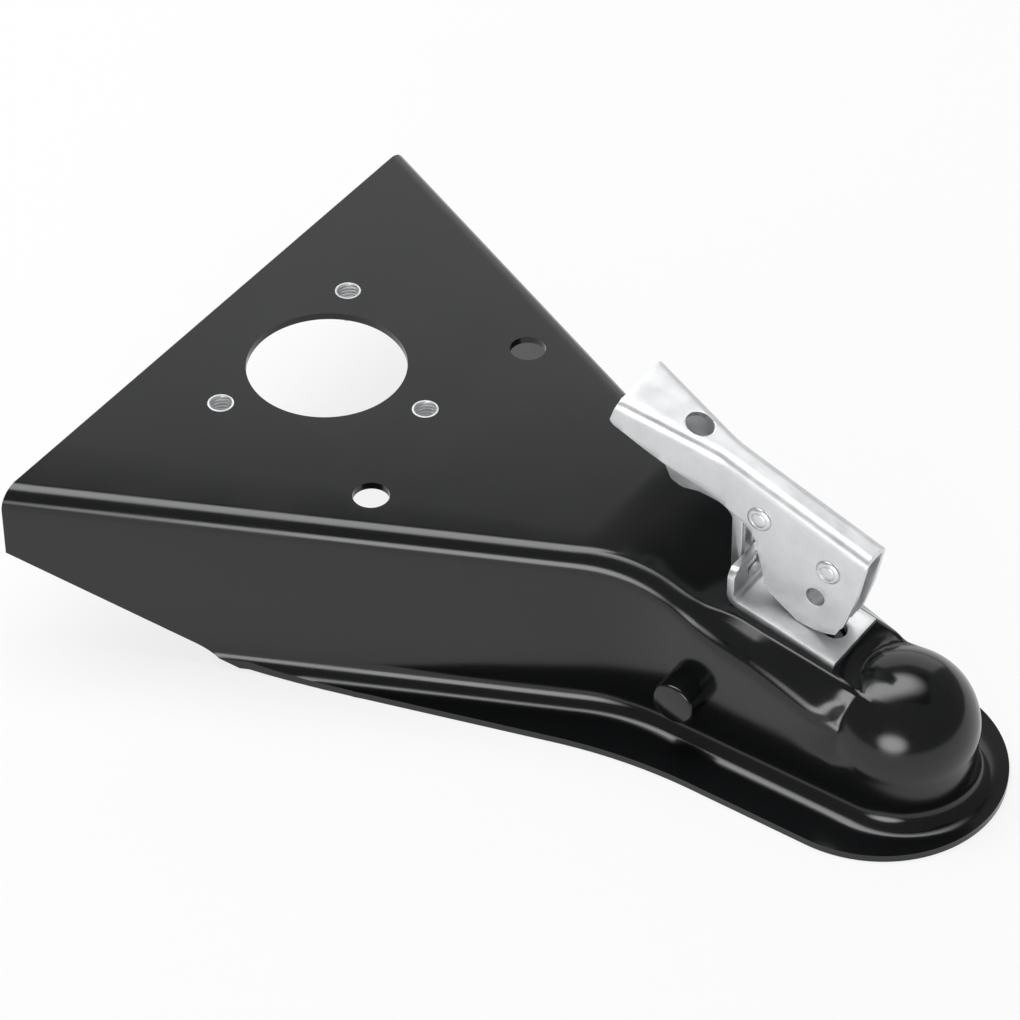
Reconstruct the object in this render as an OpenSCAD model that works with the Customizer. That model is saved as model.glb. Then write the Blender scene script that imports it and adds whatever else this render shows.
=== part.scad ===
// A-frame coupling head for a two inch tow ball.
// Origin: centre of the ball. +X points forward, +Y left, +Z up. Millimetres.

/* [Ball socket] */
// Diameter of the tow ball
ball_d = 50.8; // [49:0.1:51.5]
// Radial room between the ball and the pressed dome
ball_clear = 1.4; // [1:0.1:1.8]
// Radial room between the ball and the closed jaw
jaw_clear = 0.4; // [0.3:0.1:0.8]

/* [Housing] */
// Thickness of the pressed steel sheet
sheet_t = 3; // [2.6:0.1:3.4]
// Flat top above the ball centre
top_h = 50; // [48:0.5:53]
// Underside of the skirt below the ball centre
skirt_h = 27.5; // [26:0.5:30]
// Ball centre to the rear edge
rear_len = 322; // [300:1:350]
// Width over the walls at the rear edge
rear_w = 264; // [256:1:276]
// Angle between the two frame rails
frame_angle = 50; // [49:0.5:51]
// Depth of the walls at the rear edge
rear_depth = 30; // [26:0.5:34]
// Outer radius of the fold between the top and the walls
bend_r = 8.5; // [7:0.5:9]
// Plan radius where the walls turn parallel
turn_r = 80; // [70:1:100]

/* [Skirt] */
// Rear end of the skirt, behind the ball centre
skirt_len = 236; // [225:1:245]
// Angle of the skirt edge to the centre line
skirt_angle = 16.5; // [15.5:0.5:17.5]
// Half width of the skirt beside the socket
skirt_half = 50.5; // [49:0.5:53]
// Plan radius that leads the skirt edge into its parallel part
skirt_turn_r = 200; // [170:5:220]
// Centre of the round front of the skirt, behind the ball centre
rim_back = 9.7; // [8:0.1:12]
// Hollow radius between the walls and the skirt
foot_r = 8; // [6:0.5:9]

/* [Neck] */
// Slope of the neck's seat under the latch
neck_slope = 11.4; // [10:0.1:12.5]
// Height of the seat's line over the ball centre
neck_h = 23.4; // [22.5:0.1:24]
// Half width of the flat on the neck
neck_half = 18; // [17:0.1:18.5]
// Rear end of the seat behind the ball centre
seat_len = 75; // [73:0.5:80]
// Slope of the ramp between the seat and the flat top
ramp_slope = 19; // [17:0.5:21]
// Height of the shoulder line over the ball centre
shoulder_h = 3.6; // [3.4:0.1:4.4]
// Slope of the shoulder line
shoulder_slope = 26.1; // [24:0.1:27.5]
// Radius that rounds the crest before the ramp
crest_r = 100; // [80:5:120]

/* [Jack mounting] */
// Jack tube hole
jack_hole_d = 63.5; // [60:0.1:65]
// Jack hole centre ahead of the rear edge
jack_ahead = 57; // [54:1:60]
// Jack screw ahead of the jack hole centre
screw_front = 47.3; // [44:0.1:50]
// Rear jack screws behind the jack hole centre
screw_rear = 20.3; // [18:0.1:24]
// Rear jack screws either side of the centre line
screw_side = 42; // [40:0.1:44]
// Minor diameter of the jack screw thread
screw_bore_d = 8; // [7:0.1:8.4]
// Collar of the clinch nut in the top plate
nut_collar_d = 10.6; // [10.2:0.1:12]
// Width across corners of the clinch nut
nut_corner_d = 18; // [16:0.5:20]
// Height of the clinch nut under the plate
nut_h = 6; // [5:0.5:8]
// Frame bolt holes
frame_hole_d = 14.3; // [11:0.1:15]
// Frame bolt holes ahead of the jack hole centre
frame_hole_x = 59.5; // [58:0.1:61]
// Frame bolt holes either side of the centre line
frame_hole_y = 52.8; // [50:0.1:54]

/* [Latch plate] */
// Thickness of the latch plate
plate_t = 3; // [2.5:0.1:3.4]
// Width of the latch plate
plate_w = 30; // [28:0.1:31]
// Front edge of the plate behind the ball centre, along the neck
plate_front = 23; // [22:0.1:24]
// Back of the upright lip behind the ball centre, along the neck
plate_rear = 72.1; // [71.5:0.1:73]
// Height of the lip over the plate's seat
lip_h = 17.2; // [17:0.1:18]
// Inner radius of the lip fold
lip_bend_r = 3; // [2:0.5:4]
// Radius of the lip's top corners
lip_corner_r = 4.5; // [3:0.5:5]
// Solid band over the window in the lip
lip_band = 2.5; // [2:0.1:3]
// Length of the slots in the plate and the neck
slot_l = 24; // [22:0.5:26]
// Width of the slots in the plate and the neck
slot_w = 10.6; // [10.4:0.1:11.5]

/* [Lever] */
// Sheet thickness of the lever
lever_t = 2.3; // [2:0.1:2.5]
// Width over the lever's cheeks at the front
lever_w = 14; // [13.6:0.1:15]
// Width over the lever at its rear end
grip_w = 32; // [28:0.5:34]
// Pivot of the lever behind the ball centre, along the neck
pivot_back = 39.4; // [39:0.1:40]
// Pivot of the lever above the latch plate
pivot_h = 32.4; // [32:0.1:33]
// Pivot to the rear end of the lever
grip_l = 97.5; // [92:0.5:102]
// Pivot to the front end of the lever's top
lever_nose = 11.5; // [10:0.5:13]
// Pivot to the lever's top face
lever_top = 16.5; // [15.5:0.5:17.5]
// Angle of the closed lever to the latch plate
lever_rise = 6.4; // [5.5:0.1:7]
// Outer radius of the lever's folds
lever_bend_r = 3; // [2.6:0.1:4]
// Where the grip starts to widen, behind the pivot
flare_at = 55; // [52:1:58]
// Fall of the draw bolt for each degree that the lever opens
cam_rate = 0.1; // [0.09:0.005:0.105]
// Running gap between the cam and the latch plate
cam_gap = 0.3; // [0.2:0.1:0.5]
// Hole through the top of the grip
grip_hole_d = 11.4; // [9:0.1:12]
// Grip hole behind the pivot
grip_hole_at = 69.7; // [68:0.1:72]
// Padlock hole through the cheeks
lock_hole_d = 8; // [7:0.1:8.4]
// Padlock hole below the pivot
lock_drop = 15.5; // [15:0.1:16]

/* [Rivets] */
// Shank diameter of the lever rivet
lever_rivet_d = 7; // [6:0.1:7.5]
// Shank diameter of the trigger rivet
trigger_rivet_d = 6; // [5:0.1:6.4]
// Head diameter of both rivets
rivet_head_d = 10.2; // [9:0.1:11]
// Head height of both rivets
rivet_head_h = 1; // [0.8:0.1:1.4]
// Running clearance of each turning hole, on the radius
run_clear = 0.05; // [0.03:0.01:0.08]

/* [Trigger] */
// Trigger pivot behind the lever pivot
trigger_at = 32; // [31:0.1:33]
// Trigger pivot above the lever pivot
trigger_up = 1.2; // [0:0.1:2]
// Width over the trigger
trigger_w = 8.8; // [8.4:0.1:9]
// Sheet thickness of the trigger
trigger_t = 2; // [1.6:0.1:2.2]
// Trigger pivot to the end of its finger tab
finger_l = 44.3; // [42:0.1:45]
// Trigger pivot to the tip of its tooth
leg_l = 35.4; // [35:0.1:35.8]

/* [Draw bolt] */
// Shank diameter of the draw bolt
bolt_d = 9.2; // [9:0.1:10]
// Thickness of the draw bolt's flat head
tongue_t = 8.8; // [8.4:0.1:9]
// Radius of the draw bolt's eye
eye_r = 8; // [7.5:0.1:8.5]
// Pivot to the lower end of the flat head
tongue_l = 25; // [23:0.5:26]
// Pivot to the centre of the rocker
rocker_drop = 72; // [70:0.5:73]
// Radius of the rocker
rocker_r = 7.7; // [7:0.1:8]
// Length of the rocker
rocker_l = 24; // [20:0.5:28]
// Thickness of the thrust washer
washer_t = 2; // [1.5:0.1:2.5]
// Height of the lock nut
lock_nut_h = 8; // [7:0.5:9]
// Width across corners of the lock nut
lock_nut_d = 18.5; // [17:0.1:19]

/* [Ball clamp] */
// Diameter of the cross pin
pin_d = 18; // [16:0.1:19]
// Cross pin behind the ball centre
pin_back = 77.4; // [76:0.1:79]
// Cross pin below the ball centre
pin_drop = 1.6; // [1:0.1:2]
// Pin ends beyond the walls
pin_proud = 9.2; // [6:0.1:10]
// Thickness of the jaw
jaw_t = 5.5; // [4.5:0.1:6]
// Width of the jaw
jaw_w = 40; // [36:0.5:42]
// Upper edge of the jaw above the ball centre
jaw_high = 6; // [5:0.5:7]
// Lower edge of the jaw below the ball centre
jaw_low = 20; // [18:0.5:21]
// Front edge of the jaw behind the ball centre
jaw_front = 14; // [12:0.5:16]
// Width of the clamp's arm
arm_w = 32; // [30:0.5:34]
// Outside diameter of the clamp's hub
hub_d = 27; // [25:0.5:28]
// Width of the clamp's hub
hub_w = 48; // [44:0.5:49]

/* [Springs] */
// Outside diameter of the bolt spring
spring_d = 17; // [15:0.1:18]
// Wire of the bolt spring
spring_wire = 2.2; // [1.8:0.1:2.4]
// Turns of the bolt spring
spring_turns = 5; // [4:0.5:6]
// Wire of the trigger spring
coil_wire = 1.1; // [0.9:0.1:1.2]
// Turns of the trigger spring
coil_turns = 3; // [2:0.5:3]

/* [Hidden] */
$fn = 64;
black = "#202124";
zinc = "#c9ccd1";
steel = "#8b8e93";

socket_r = ball_d / 2 + ball_clear;
dome_r = socket_r + sheet_t;
// The walls stand a hair inside the dome, so that the two meet on a clear line
wall_half = dome_r - 0.2;
rail = frame_angle / 2;
jack_back = rear_len - jack_ahead;
over = 10;

// Plan of the walls: a straight run, a turn and a parallel run
turn_end = (rear_w / 2 - wall_half) / tan(rail) - rear_len + turn_r * tan(rail / 2);
turn_start = turn_end - turn_r * sin(rail);
function wall_y(x) = x < turn_start ? rear_w / 2 - tan(rail) * (x + rear_len)
    : x < turn_end ? wall_half + turn_r - sqrt(turn_r * turn_r - pow(x - turn_end, 2))
    : wall_half;
function wall_lean(x) = x < turn_start ? rail
    : x < turn_end ? asin((turn_end - x) / turn_r)
    : 0;

// Side view of the top: flat, a rounded crest, a ramp and the latch's seat
ramp_z = neck_h + tan(neck_slope) * seat_len;
crest_x = -seat_len - (top_h - ramp_z) / tan(ramp_slope);
crest_start = crest_x - crest_r * tan(ramp_slope / 2);
crest_end = crest_start + crest_r * sin(ramp_slope);
function top_z(x) = x < crest_start ? top_h
    : x < crest_end ? top_h - crest_r + sqrt(crest_r * crest_r - pow(x - crest_start, 2))
    : x < -seat_len ? ramp_z - tan(ramp_slope) * (x + seat_len)
    : neck_h - tan(neck_slope) * x;

// The neck narrows from full width to its own flat between these places
narrow_start = crest_x + 22;
narrow_end = crest_x + 44;
function blend(x) = let (t = min(1, max(0, (x - narrow_start) / (narrow_end - narrow_start))))
    t * t * (3 - 2 * t);
function mix(a, b, t) = a + (b - a) * t;

// A fold of radius bend_r is drawn as two equal arcs that meet at 45 degrees
fold_cut = bend_r * (2 - sqrt(2));
function shoulder_drop(x) = max(fold_cut, top_z(x) - shoulder_h + tan(shoulder_slope) * x);

// Arc of radius r that rounds the corner c between directions a0 and a1 (degrees of the normal)
function round_corner(c, r, a0, a1, steps, inset) = let (
        half = (a1 - a0) / 2,
        mid = (a0 + a1) / 2,
        o = [c[0] - r * sin(mid) / cos(half), c[1] - r * cos(mid) / cos(half)])
    [for (i = [0:steps]) let (a = a0 + (a1 - a0) * i / steps)
        [o[0] + (r - inset) * sin(a), o[1] + (r - inset) * cos(a)]];

// Right half of one cross-section, from the top to the skirt, as distances from the wall line.
// inset is 0 for the outside of the sheet and the sheet's thickness for its inside.
fold_steps = 4;
foot_steps = 6;
function half_section(x, inset) = let (
        stretch = 1 / cos(wall_lean(x)),
        f = blend(x),
        y_wall = wall_y(x),
        z_top = top_z(x),
        drop = shoulder_drop(x),
        in_top = mix(-fold_cut, (neck_half - y_wall) / stretch, f),
        face = atan2(drop, -in_top),
        r_top = mix(bend_r, bend_r / 2, f) * 0.98,
        r_shoulder = mix(bend_r, bend_r * 0.85, f) * 0.98,
        top_arc = round_corner([in_top, z_top], r_top, 0, face, fold_steps, inset),
        side_arc = round_corner([0, z_top - drop], r_shoulder, face, 90, fold_steps, inset),
        foot_z = -skirt_h + sheet_t + foot_r,
        foot = [for (i = [0:foot_steps]) let (a = 90 * i / foot_steps)
            [foot_r - (foot_r + inset) * cos(a), foot_z - (foot_r + inset) * sin(a)]])
    [for (p = concat(top_arc, side_arc, [[-inset, 0]], foot)) [y_wall + p[0] * stretch, p[1]]];

// The last point closes a section below: at the skirt outside, as an open mouth inside
function closed_half(x, inset) = let (side = half_section(x, inset), last = side[len(side) - 1])
    concat(side, [[last[0], inset == 0 ? -skirt_h : -skirt_h - over]]);

function full_section(x, inset) = let (side = closed_half(x, inset), n = len(side))
    concat([for (p = side) [x, p[0], p[1]]],
        [for (i = [n - 1:-1:0]) [x, -side[i][0], side[i][1]]]);

// Skin through rings whose second half mirrors their first, so rows of faces close the ends.
// A nose goes on with smaller rings, whose first one would match the lower part of the last ring.
module loft(rings, nose = []) {
    n = len(rings[0]);
    end = (len(rings) - 1) * n;
    points = [for (ring = concat(rings, nose)) for (p = ring) p];
    q = len(nose) == 0 ? 2 : len(nose[0]);
    open = (n - q) / 2;
    tip = end + n + (len(nose) - 1) * q;
    sides = [for (j = [0:len(rings) - 2]) tube_faces(j * n, (j + 1) * n, n)];
    nose_sides = [for (j = [0:len(nose) - 1])
        tube_faces(j == 0 ? end + open : end + n + (j - 1) * q, end + n + j * q, q)];
    caps = concat(
        [for (i = [0:n / 2 - 2]) row_faces(n - 1 - i, i, -1)],
        [for (i = [0:open - 1]) row_faces(end + i, end + n - 1 - i, 1)],
        len(nose) == 0 ? [] : [for (i = [0:q / 2 - 2]) row_faces(tip + i, tip + q - 1 - i, 1)]);
    polyhedron(points = points, faces = [for (part = concat(sides, nose_sides, caps)) each part],
        convexity = 6);
}
function tube_faces(a, b, n) = [for (i = [0:n - 1]) let (k = (i + 1) % n)
    each [[a + i, a + k, b + k], [a + i, b + k, b + i]]];
function row_faces(a, b, step) = [[a, a + step, b], [a + step, b - step, b]];

neck_stations = [for (i = [0:15]) mix(-seat_len, 0, i / 15)];
turn_stations = [for (i = [0:8]) mix(min(turn_start, crest_start), -seat_len, i / 9)];
stations = concat(turn_stations, neck_stations);

// The walls, foot and skirt turn about the ball's upright axis to close the nose
wall_index = 2 * (fold_steps + 1);
nose_steps = 25;
function nose_ring(a, inset) = let (
        half = closed_half(0, inset),
        side = [for (i = [wall_index:len(half) - 1]) half[i]],
        n = len(side))
    concat([for (p = side) [p[0] * cos(a), p[0] * sin(a), p[1]]],
        [for (i = [n - 1:-1:0]) [side[i][0] * cos(a), -side[i][0] * sin(a), side[i][1]]]);

module housing_skin(back, inset) {
    loft([for (x = concat([back], stations)) full_section(x, inset)],
        [for (i = [1:(nose_steps - 1) / 2]) nose_ring(90 - 180 * i / nose_steps, inset)]);
    sphere(r = dome_r - inset);
}

module housing_outside() {
    housing_skin(-rear_len, 0);
    translate([0, 0, -skirt_h]) linear_extrude(height = sheet_t) plan_outline();
}

module housing_inside() {
    housing_skin(-rear_len - over, sheet_t);
}

// Plan of the blank: along the walls, out along the skirt and round the rim
edge_out = 2;
edge_y0 = wall_y(-skirt_len) + edge_out;
edge_turn_x = -skirt_len
    + (edge_y0 - skirt_half - skirt_turn_r * (1 - cos(skirt_angle))) / tan(skirt_angle);
edge_end_x = edge_turn_x + skirt_turn_r * sin(skirt_angle);
edge_start = [[-rear_len - over / 2, rear_w / 2 + edge_out + over / 2 * tan(rail)],
    [-skirt_len, edge_y0], skirt_turn(0)];
function skirt_turn(t) = let (a = skirt_angle * (1 - t))
    [edge_end_x - skirt_turn_r * sin(a), skirt_half + skirt_turn_r * (1 - cos(a))];
module plan_outline() {
    edge = concat(edge_start, [for (i = [1:12]) skirt_turn(i / 12)], [[-rim_back, skirt_half]]);
    polygon(concat(edge, [for (i = [len(edge) - 1:-1:0]) [edge[i][0], -edge[i][1]]]));
    translate([-rim_back, 0]) circle(r = skirt_half);
}

// Wedge that the sloping rear cut takes off both walls
module rear_cut() {
    rotate([90, 0, 0]) linear_extrude(height = rear_w + 2 * over, center = true) polygon([
        [-rear_len - over, top_h - rear_depth + over * cut_fall],
        [-skirt_len, -skirt_h],
        [-skirt_len, -skirt_h - over],
        [-rear_len - over, -skirt_h - over]]);
}
cut_fall = (top_h - rear_depth + skirt_h) / (rear_len - skirt_len);

// Takes the hollow at the foot back to the edge of the blank, where the skirt starts
module side_trim() {
    beyond = rear_w / 2 + 3 * over;
    for (side = [0, 1]) mirror([0, side, 0]) translate([0, 0, -skirt_h - 1])
        linear_extrude(height = skirt_h + top_h)
            polygon(concat(edge_start, [[edge_start[2][0], beyond], [edge_start[0][0], beyond]]));
}

jack_screws = [[screw_front - jack_back, 0], [-screw_rear - jack_back, screw_side],
    [-screw_rear - jack_back, -screw_side]];

// Frame of the latch: its X runs down the neck, its Z stands square to it
module on_neck() {
    translate([0, 0, neck_h]) rotate([0, neck_slope, 0]) children();
}
module on_bolt() {
    on_neck() translate([-pivot_back, 0, plate_t + pivot_h]) children();
}
module on_lever() {
    on_bolt() rotate([0, lever_rise, 0]) children();
}
module on_trigger() {
    on_lever() translate([-trigger_at, 0, trigger_up]) children();
}
module across(length) {
    rotate([90, 0, 0]) linear_extrude(height = length, center = true) children();
}

module slot(length, width, depth) {
    for (side = [-1, 1]) translate([side * (length - width) / 2, 0, 0])
        cylinder(d = width, h = depth, center = true);
    cube([length - width, width, depth], center = true);
}

module coupler_body() {
    color(black) difference() {
        housing_outside();
        housing_inside();
        rear_cut();
        side_trim();
        translate([-jack_back, 0, top_h - sheet_t - 1]) cylinder(d = jack_hole_d, h = sheet_t + 2, $fn = 96);
        for (p = jack_screws) translate([p[0], p[1], top_h - sheet_t - 1])
            cylinder(d = nut_collar_d, h = sheet_t + 2);
        for (side = [-1, 1]) translate([frame_hole_x - jack_back, side * frame_hole_y, top_h - sheet_t - 1])
            cylinder(d = frame_hole_d, h = sheet_t + 2);
        translate([-pin_back, 0, -pin_drop]) rotate([90, 0, 0])
            cylinder(d = pin_d, h = 3 * dome_r, center = true);
        on_neck() translate([-pivot_back, 0, 0]) slot(slot_l, slot_w, 3 * sheet_t);
    }
}

module jack_nut(place) {
    color(steel) translate([place[0], place[1], top_h]) difference() {
        union() {
            translate([0, 0, -sheet_t]) cylinder(d = nut_collar_d, h = sheet_t);
            translate([0, 0, -sheet_t - nut_h]) cylinder(d = nut_corner_d, h = nut_h, $fn = 6);
        }
        translate([0, 0, -sheet_t - nut_h - 1]) cylinder(d = screw_bore_d, h = sheet_t + nut_h + 2);
    }
}

// Plate with its rear end folded up into a lip that stands plumb
lip_turn = 90 - neck_slope;
fold_r = plate_t + lip_bend_r;
fold_x = fold_r - plate_rear;
lip_l = lip_h - fold_r;
window_w = trigger_w + 2;
module in_lip() {
    translate([fold_x, 0, fold_r]) rotate([0, lip_turn, 0]) translate([-lip_l, 0, -fold_r]) children();
}
// One side of the folded strip: along the plate, round the fold and up the lip
function fold_side(r) = concat([[-plate_front, fold_r - r]],
    [for (i = [0:12]) let (a = lip_turn * i / 12) [fold_x - r * sin(a), fold_r - r * cos(a)]],
    [[fold_x - r * sin(lip_turn) - lip_l * cos(lip_turn), fold_r - r * cos(lip_turn) + lip_l * sin(lip_turn)]]);
module latch_plate() {
    outer = fold_side(fold_r);
    inner = fold_side(lip_bend_r);
    color(zinc) on_neck() difference() {
        across(plate_w) polygon(concat(outer, [for (i = [len(inner) - 1:-1:0]) inner[i]]));
        translate([-pivot_back, 0, plate_t / 2]) slot(slot_l, slot_w, plate_t + 2);
        // Window for the trigger's tooth, and the rounded corners
        in_lip() translate([lip_band, -window_w / 2, -1]) cube([lip_l - lip_band, window_w, plate_t + 2]);
        in_lip() for (side = [0, 1]) mirror([0, side, 0]) translate([0, plate_w / 2, -1]) difference() {
            translate([-1, -lip_corner_r, 0]) cube([lip_corner_r + 1, lip_corner_r + 1, plate_t + 2]);
            translate([lip_corner_r, -lip_corner_r, 0]) cylinder(r = lip_corner_r, h = plate_t + 2);
        }
    }
}

module cross_pin() {
    chamfer = 0.8;
    half = wall_half + pin_proud;
    color(black) translate([-pin_back, 0, -pin_drop]) rotate([90, 0, 0]) rotate_extrude() polygon([
        [0, -half], [pin_d / 2 - chamfer, -half], [pin_d / 2, -half + chamfer],
        [pin_d / 2, half - chamfer], [pin_d / 2 - chamfer, half], [0, half]]);
}

module clamp_spacer(side) {
    inner = hub_w / 2 + run_clear;
    length = wall_half - sheet_t - inner - run_clear;
    color(steel) translate([-pin_back, side * (inner + length / 2), -pin_drop]) rotate([90, 0, 0])
        difference() {
            cylinder(d = pin_d + 7, h = length, center = true);
            cylinder(d = pin_d, h = length + 1, center = true);
        }
}

// The rocker's centre, seen from the ball centre
bolt_foot = plate_t + pivot_h - rocker_drop;
seat_x = -pivot_back * cos(neck_slope) + bolt_foot * sin(neck_slope);
seat_z = neck_h + pivot_back * sin(neck_slope) + bolt_foot * cos(neck_slope);
seat_r = rocker_r + 0.5;
// Arm over the rocker: its upper and lower face above the rocker's centre, and its flat
arm_top = 13.5;
arm_low = 4.2;
flat_behind = 11;
flat_ahead = 14;
// The arm meets its hub a little inside the hub's round
hub_lap = 0.6;
clamp_swing = 15.5;
// Height over the ball centre of the arm's upper flat, square to the draw bolt
function flat_z(x) = seat_z + arm_top / cos(neck_slope) - (x - seat_x) * tan(neck_slope);

module ball_clamp() {
    jaw_r = ball_d / 2 + jaw_clear;
    flat_back = seat_x - flat_behind;
    flat_front = seat_x + flat_ahead;
    swing = arm_top * tan(clamp_swing);
    color(black) difference() {
        union() {
            translate([-pin_back, 0, -pin_drop]) rotate([90, 0, 0])
                cylinder(d = hub_d, h = hub_w, center = true);
            across(arm_w) polygon([
                [-pin_back, -pin_drop + hub_d / 2 - hub_lap],
                [flat_back, flat_z(flat_back)],
                [flat_front, flat_z(flat_front)],
                [-jaw_r - 1, jaw_high - 1],
                [-jaw_r + 3, -0.6 * jaw_low],
                [-jaw_r - 5, -0.7 * jaw_low],
                [flat_front - 1, seat_z + arm_low],
                [seat_x, seat_z + arm_low],
                [flat_back + 1, seat_z + 0.5],
                [-pin_back, -pin_drop - hub_d / 2 + hub_lap]]);
            intersection() {
                sphere(r = jaw_r + jaw_t);
                translate([-jaw_r - jaw_t, -jaw_w / 2, -jaw_low])
                    cube([jaw_t + jaw_r - jaw_front, jaw_w, jaw_low + jaw_high]);
            }
        }
        sphere(r = jaw_r);
        translate([-pin_back, 0, -pin_drop]) rotate([90, 0, 0])
            cylinder(d = pin_d + 2 * run_clear, h = hub_w + 2, center = true);
        translate([seat_x, 0, seat_z]) rotate([90, 0, 0])
            cylinder(r = seat_r, h = arm_w + 2, center = true);
        // Slot in which the draw bolt leans as the clamp swings
        translate([seat_x, 0, seat_z]) rotate([0, neck_slope, 0]) translate([-swing / 2, 0, arm_top / 2])
            slot(bolt_d + swing + 1.6, bolt_d + 1.2, 2 * arm_top);
    }
}

module draw_bolt() {
    end = rocker_drop + washer_t + lock_nut_h + 3;
    lock_x = -lock_drop * sin(lever_rise);
    lock_z = -lock_drop * cos(lever_rise);
    color(zinc) on_bolt() difference() {
        union() {
            across(tongue_t) {
                circle(r = eye_r);
                polygon([[-eye_r, 0], [eye_r, 0], [eye_r, -tongue_l + 5],
                    [bolt_d / 2, -tongue_l], [-bolt_d / 2, -tongue_l], [-eye_r, -tongue_l + 5]]);
            }
            translate([0, 0, -end]) cylinder(d = bolt_d, h = end - tongue_l + 3);
        }
        rotate([90, 0, 0]) cylinder(d = lever_rivet_d + 2 * run_clear, h = tongue_t + 2, center = true);
        translate([lock_x, 0, lock_z]) rotate([90, 0, 0])
            cylinder(d = lock_hole_d + 1.2, h = tongue_t + 2, center = true);
    }
}

module ring(outer, inner, height) {
    difference() {
        cylinder(d = outer, h = height);
        translate([0, 0, -1]) cylinder(d = inner, h = height + 2);
    }
}

module rocker_washer() {
    color(zinc) on_bolt() translate([0, 0, -rocker_drop]) difference() {
        across(rocker_l) intersection() {
            circle(r = rocker_r);
            translate([-rocker_r, 0]) square([2 * rocker_r, rocker_r]);
        }
        translate([0, 0, -1]) cylinder(d = bolt_d, h = rocker_r + 2);
    }
}

module thrust_washer() {
    color(zinc) on_bolt() translate([0, 0, -rocker_drop - washer_t]) ring(2 * rocker_r, bolt_d, washer_t);
}

module lock_nut() {
    color(zinc) on_bolt() translate([0, 0, -rocker_drop - washer_t - lock_nut_h]) difference() {
        cylinder(d = lock_nut_d, h = lock_nut_h, $fn = 6);
        translate([0, 0, -1]) cylinder(d = bolt_d, h = lock_nut_h + 2);
    }
}

// Round wire along a list of points, with rings square to the path
function unit(v) = v / norm(v);
module wire(path, d, sides = 8) {
    n = len(path);
    rings = [for (i = [0:n - 1]) let (
            along = unit(path[min(n - 1, i + 1)] - path[max(0, i - 1)]),
            side = unit(cross(along, abs(along[2]) < 0.9 ? [0, 0, 1] : [0, 1, 0])),
            up = cross(side, along))
        [for (j = [0:sides - 1]) let (a = -360 * j / sides)
            path[i] + (side * cos(a) + up * sin(a)) * d / 2]];
    loft(rings);
}

module bolt_spring() {
    r = (spring_d - spring_wire) / 2;
    low = -rocker_drop + arm_top + spring_wire / 2 + 0.1;
    high = -pivot_h - plate_t - sheet_t - spring_wire / 2 - 0.2;
    steps = 14 * spring_turns;
    color(steel) on_bolt() wire([for (i = [0:steps]) let (a = 360 * i / 14, t = i / steps)
        [r * cos(a), r * sin(a), mix(low, high, t)]], spring_wire);
}

// Side view of the lever: cheek with its cam, then the long grip
plate_below = pivot_h - cam_gap;
function cam_point(a) = let (h = plate_below - cam_rate * (a - lever_rise), c = cam_rate * 180 / PI)
    [h * sin(a) - c * cos(a), -h * cos(a) - c * sin(a)];
cam_end = 38;
module cheek_outline() {
    cam = [for (i = [0:12]) cam_point(mix(lever_rise, cam_end, i / 12))];
    tail = [-17, -29];
    polygon(concat(cam, [
        [lever_nose + 2.9, -22.6],
        [lever_nose + 3.2, -17],
        [lever_nose + 2.7, -3],
        [lever_nose, lever_top + 1],
        [-grip_l - 1, lever_top + 1],
        [-grip_l - 1, 8],
        [-grip_l + 1.5, 5.2],
        [-grip_l + 6, 4],
        [-83, 1.4],
        [-71, -1.6],
        [-58, -3.4],
        [-45, -4.6],
        [-38, -5.4],
        [-33.5, -7.2],
        [-30.2, -9.6],
        [-28, -13],
        [-20.7, -24.2],
        [-19.4, -27]], [tail]));
}

// Sections of the lever's outside and inside, widening towards the grip
function channel_ring(x, half, r, top, bottom) = let (
        arc = [for (i = [0:5]) let (a = 90 * i / 5) [half - r + r * sin(a), top - r + r * cos(a)]],
        side = concat(arc, [[half, bottom]]),
        n = len(side))
    concat([for (p = side) [x, p[0], p[1]]], [for (i = [n - 1:-1:0]) [x, -side[i][0], side[i][1]]]);
function channel(inset, extra) = [
    channel_ring(-grip_l - extra, grip_w / 2 - inset + extra * flare_rate, lever_bend_r - inset,
        lever_top - inset, -40 - extra),
    channel_ring(-flare_at, lever_w / 2 - inset, lever_bend_r - inset, lever_top - inset, -40 - extra),
    channel_ring(lever_nose + 8 + extra, lever_w / 2 - inset, lever_bend_r - inset,
        lever_top - inset, -40 - extra)];
flare_rate = (grip_w - lever_w) / 2 / (grip_l - flare_at);

module release_lever() {
    color(zinc) on_lever() difference() {
        intersection() {
            loft(channel(0, 0));
            across(grip_w + 10) cheek_outline();
        }
        loft(channel(lever_t, 2));
        rotate([90, 0, 0]) cylinder(d = lever_rivet_d, h = lever_w + 2, center = true);
        translate([-trigger_at, 0, trigger_up]) rotate([90, 0, 0])
            cylinder(d = trigger_rivet_d, h = lever_w + 2, center = true);
        translate([0, 0, -lock_drop]) rotate([90, 0, 0])
            cylinder(d = lock_hole_d, h = lever_w + 2, center = true);
        translate([-grip_hole_at, 0, lever_top - lever_t - 1]) cylinder(d = grip_hole_d, h = lever_t + 2);
    }
}

module rivet(d) {
    color(zinc) rotate([90, 0, 0]) {
        cylinder(d = d, h = lever_w, center = true);
        for (side = [0, 1]) mirror([0, 0, side]) translate([0, 0, lever_w / 2])
            rotate_extrude() intersection() {
                square([rivet_head_d / 2, rivet_head_h]);
                translate([0, rivet_head_h - rivet_head_d]) circle(r = rivet_head_d);
            }
    }
}

module lever_rivet() {
    on_lever() rivet(lever_rivet_d);
}

module trigger_rivet() {
    on_trigger() rivet(trigger_rivet_d);
}

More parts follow.
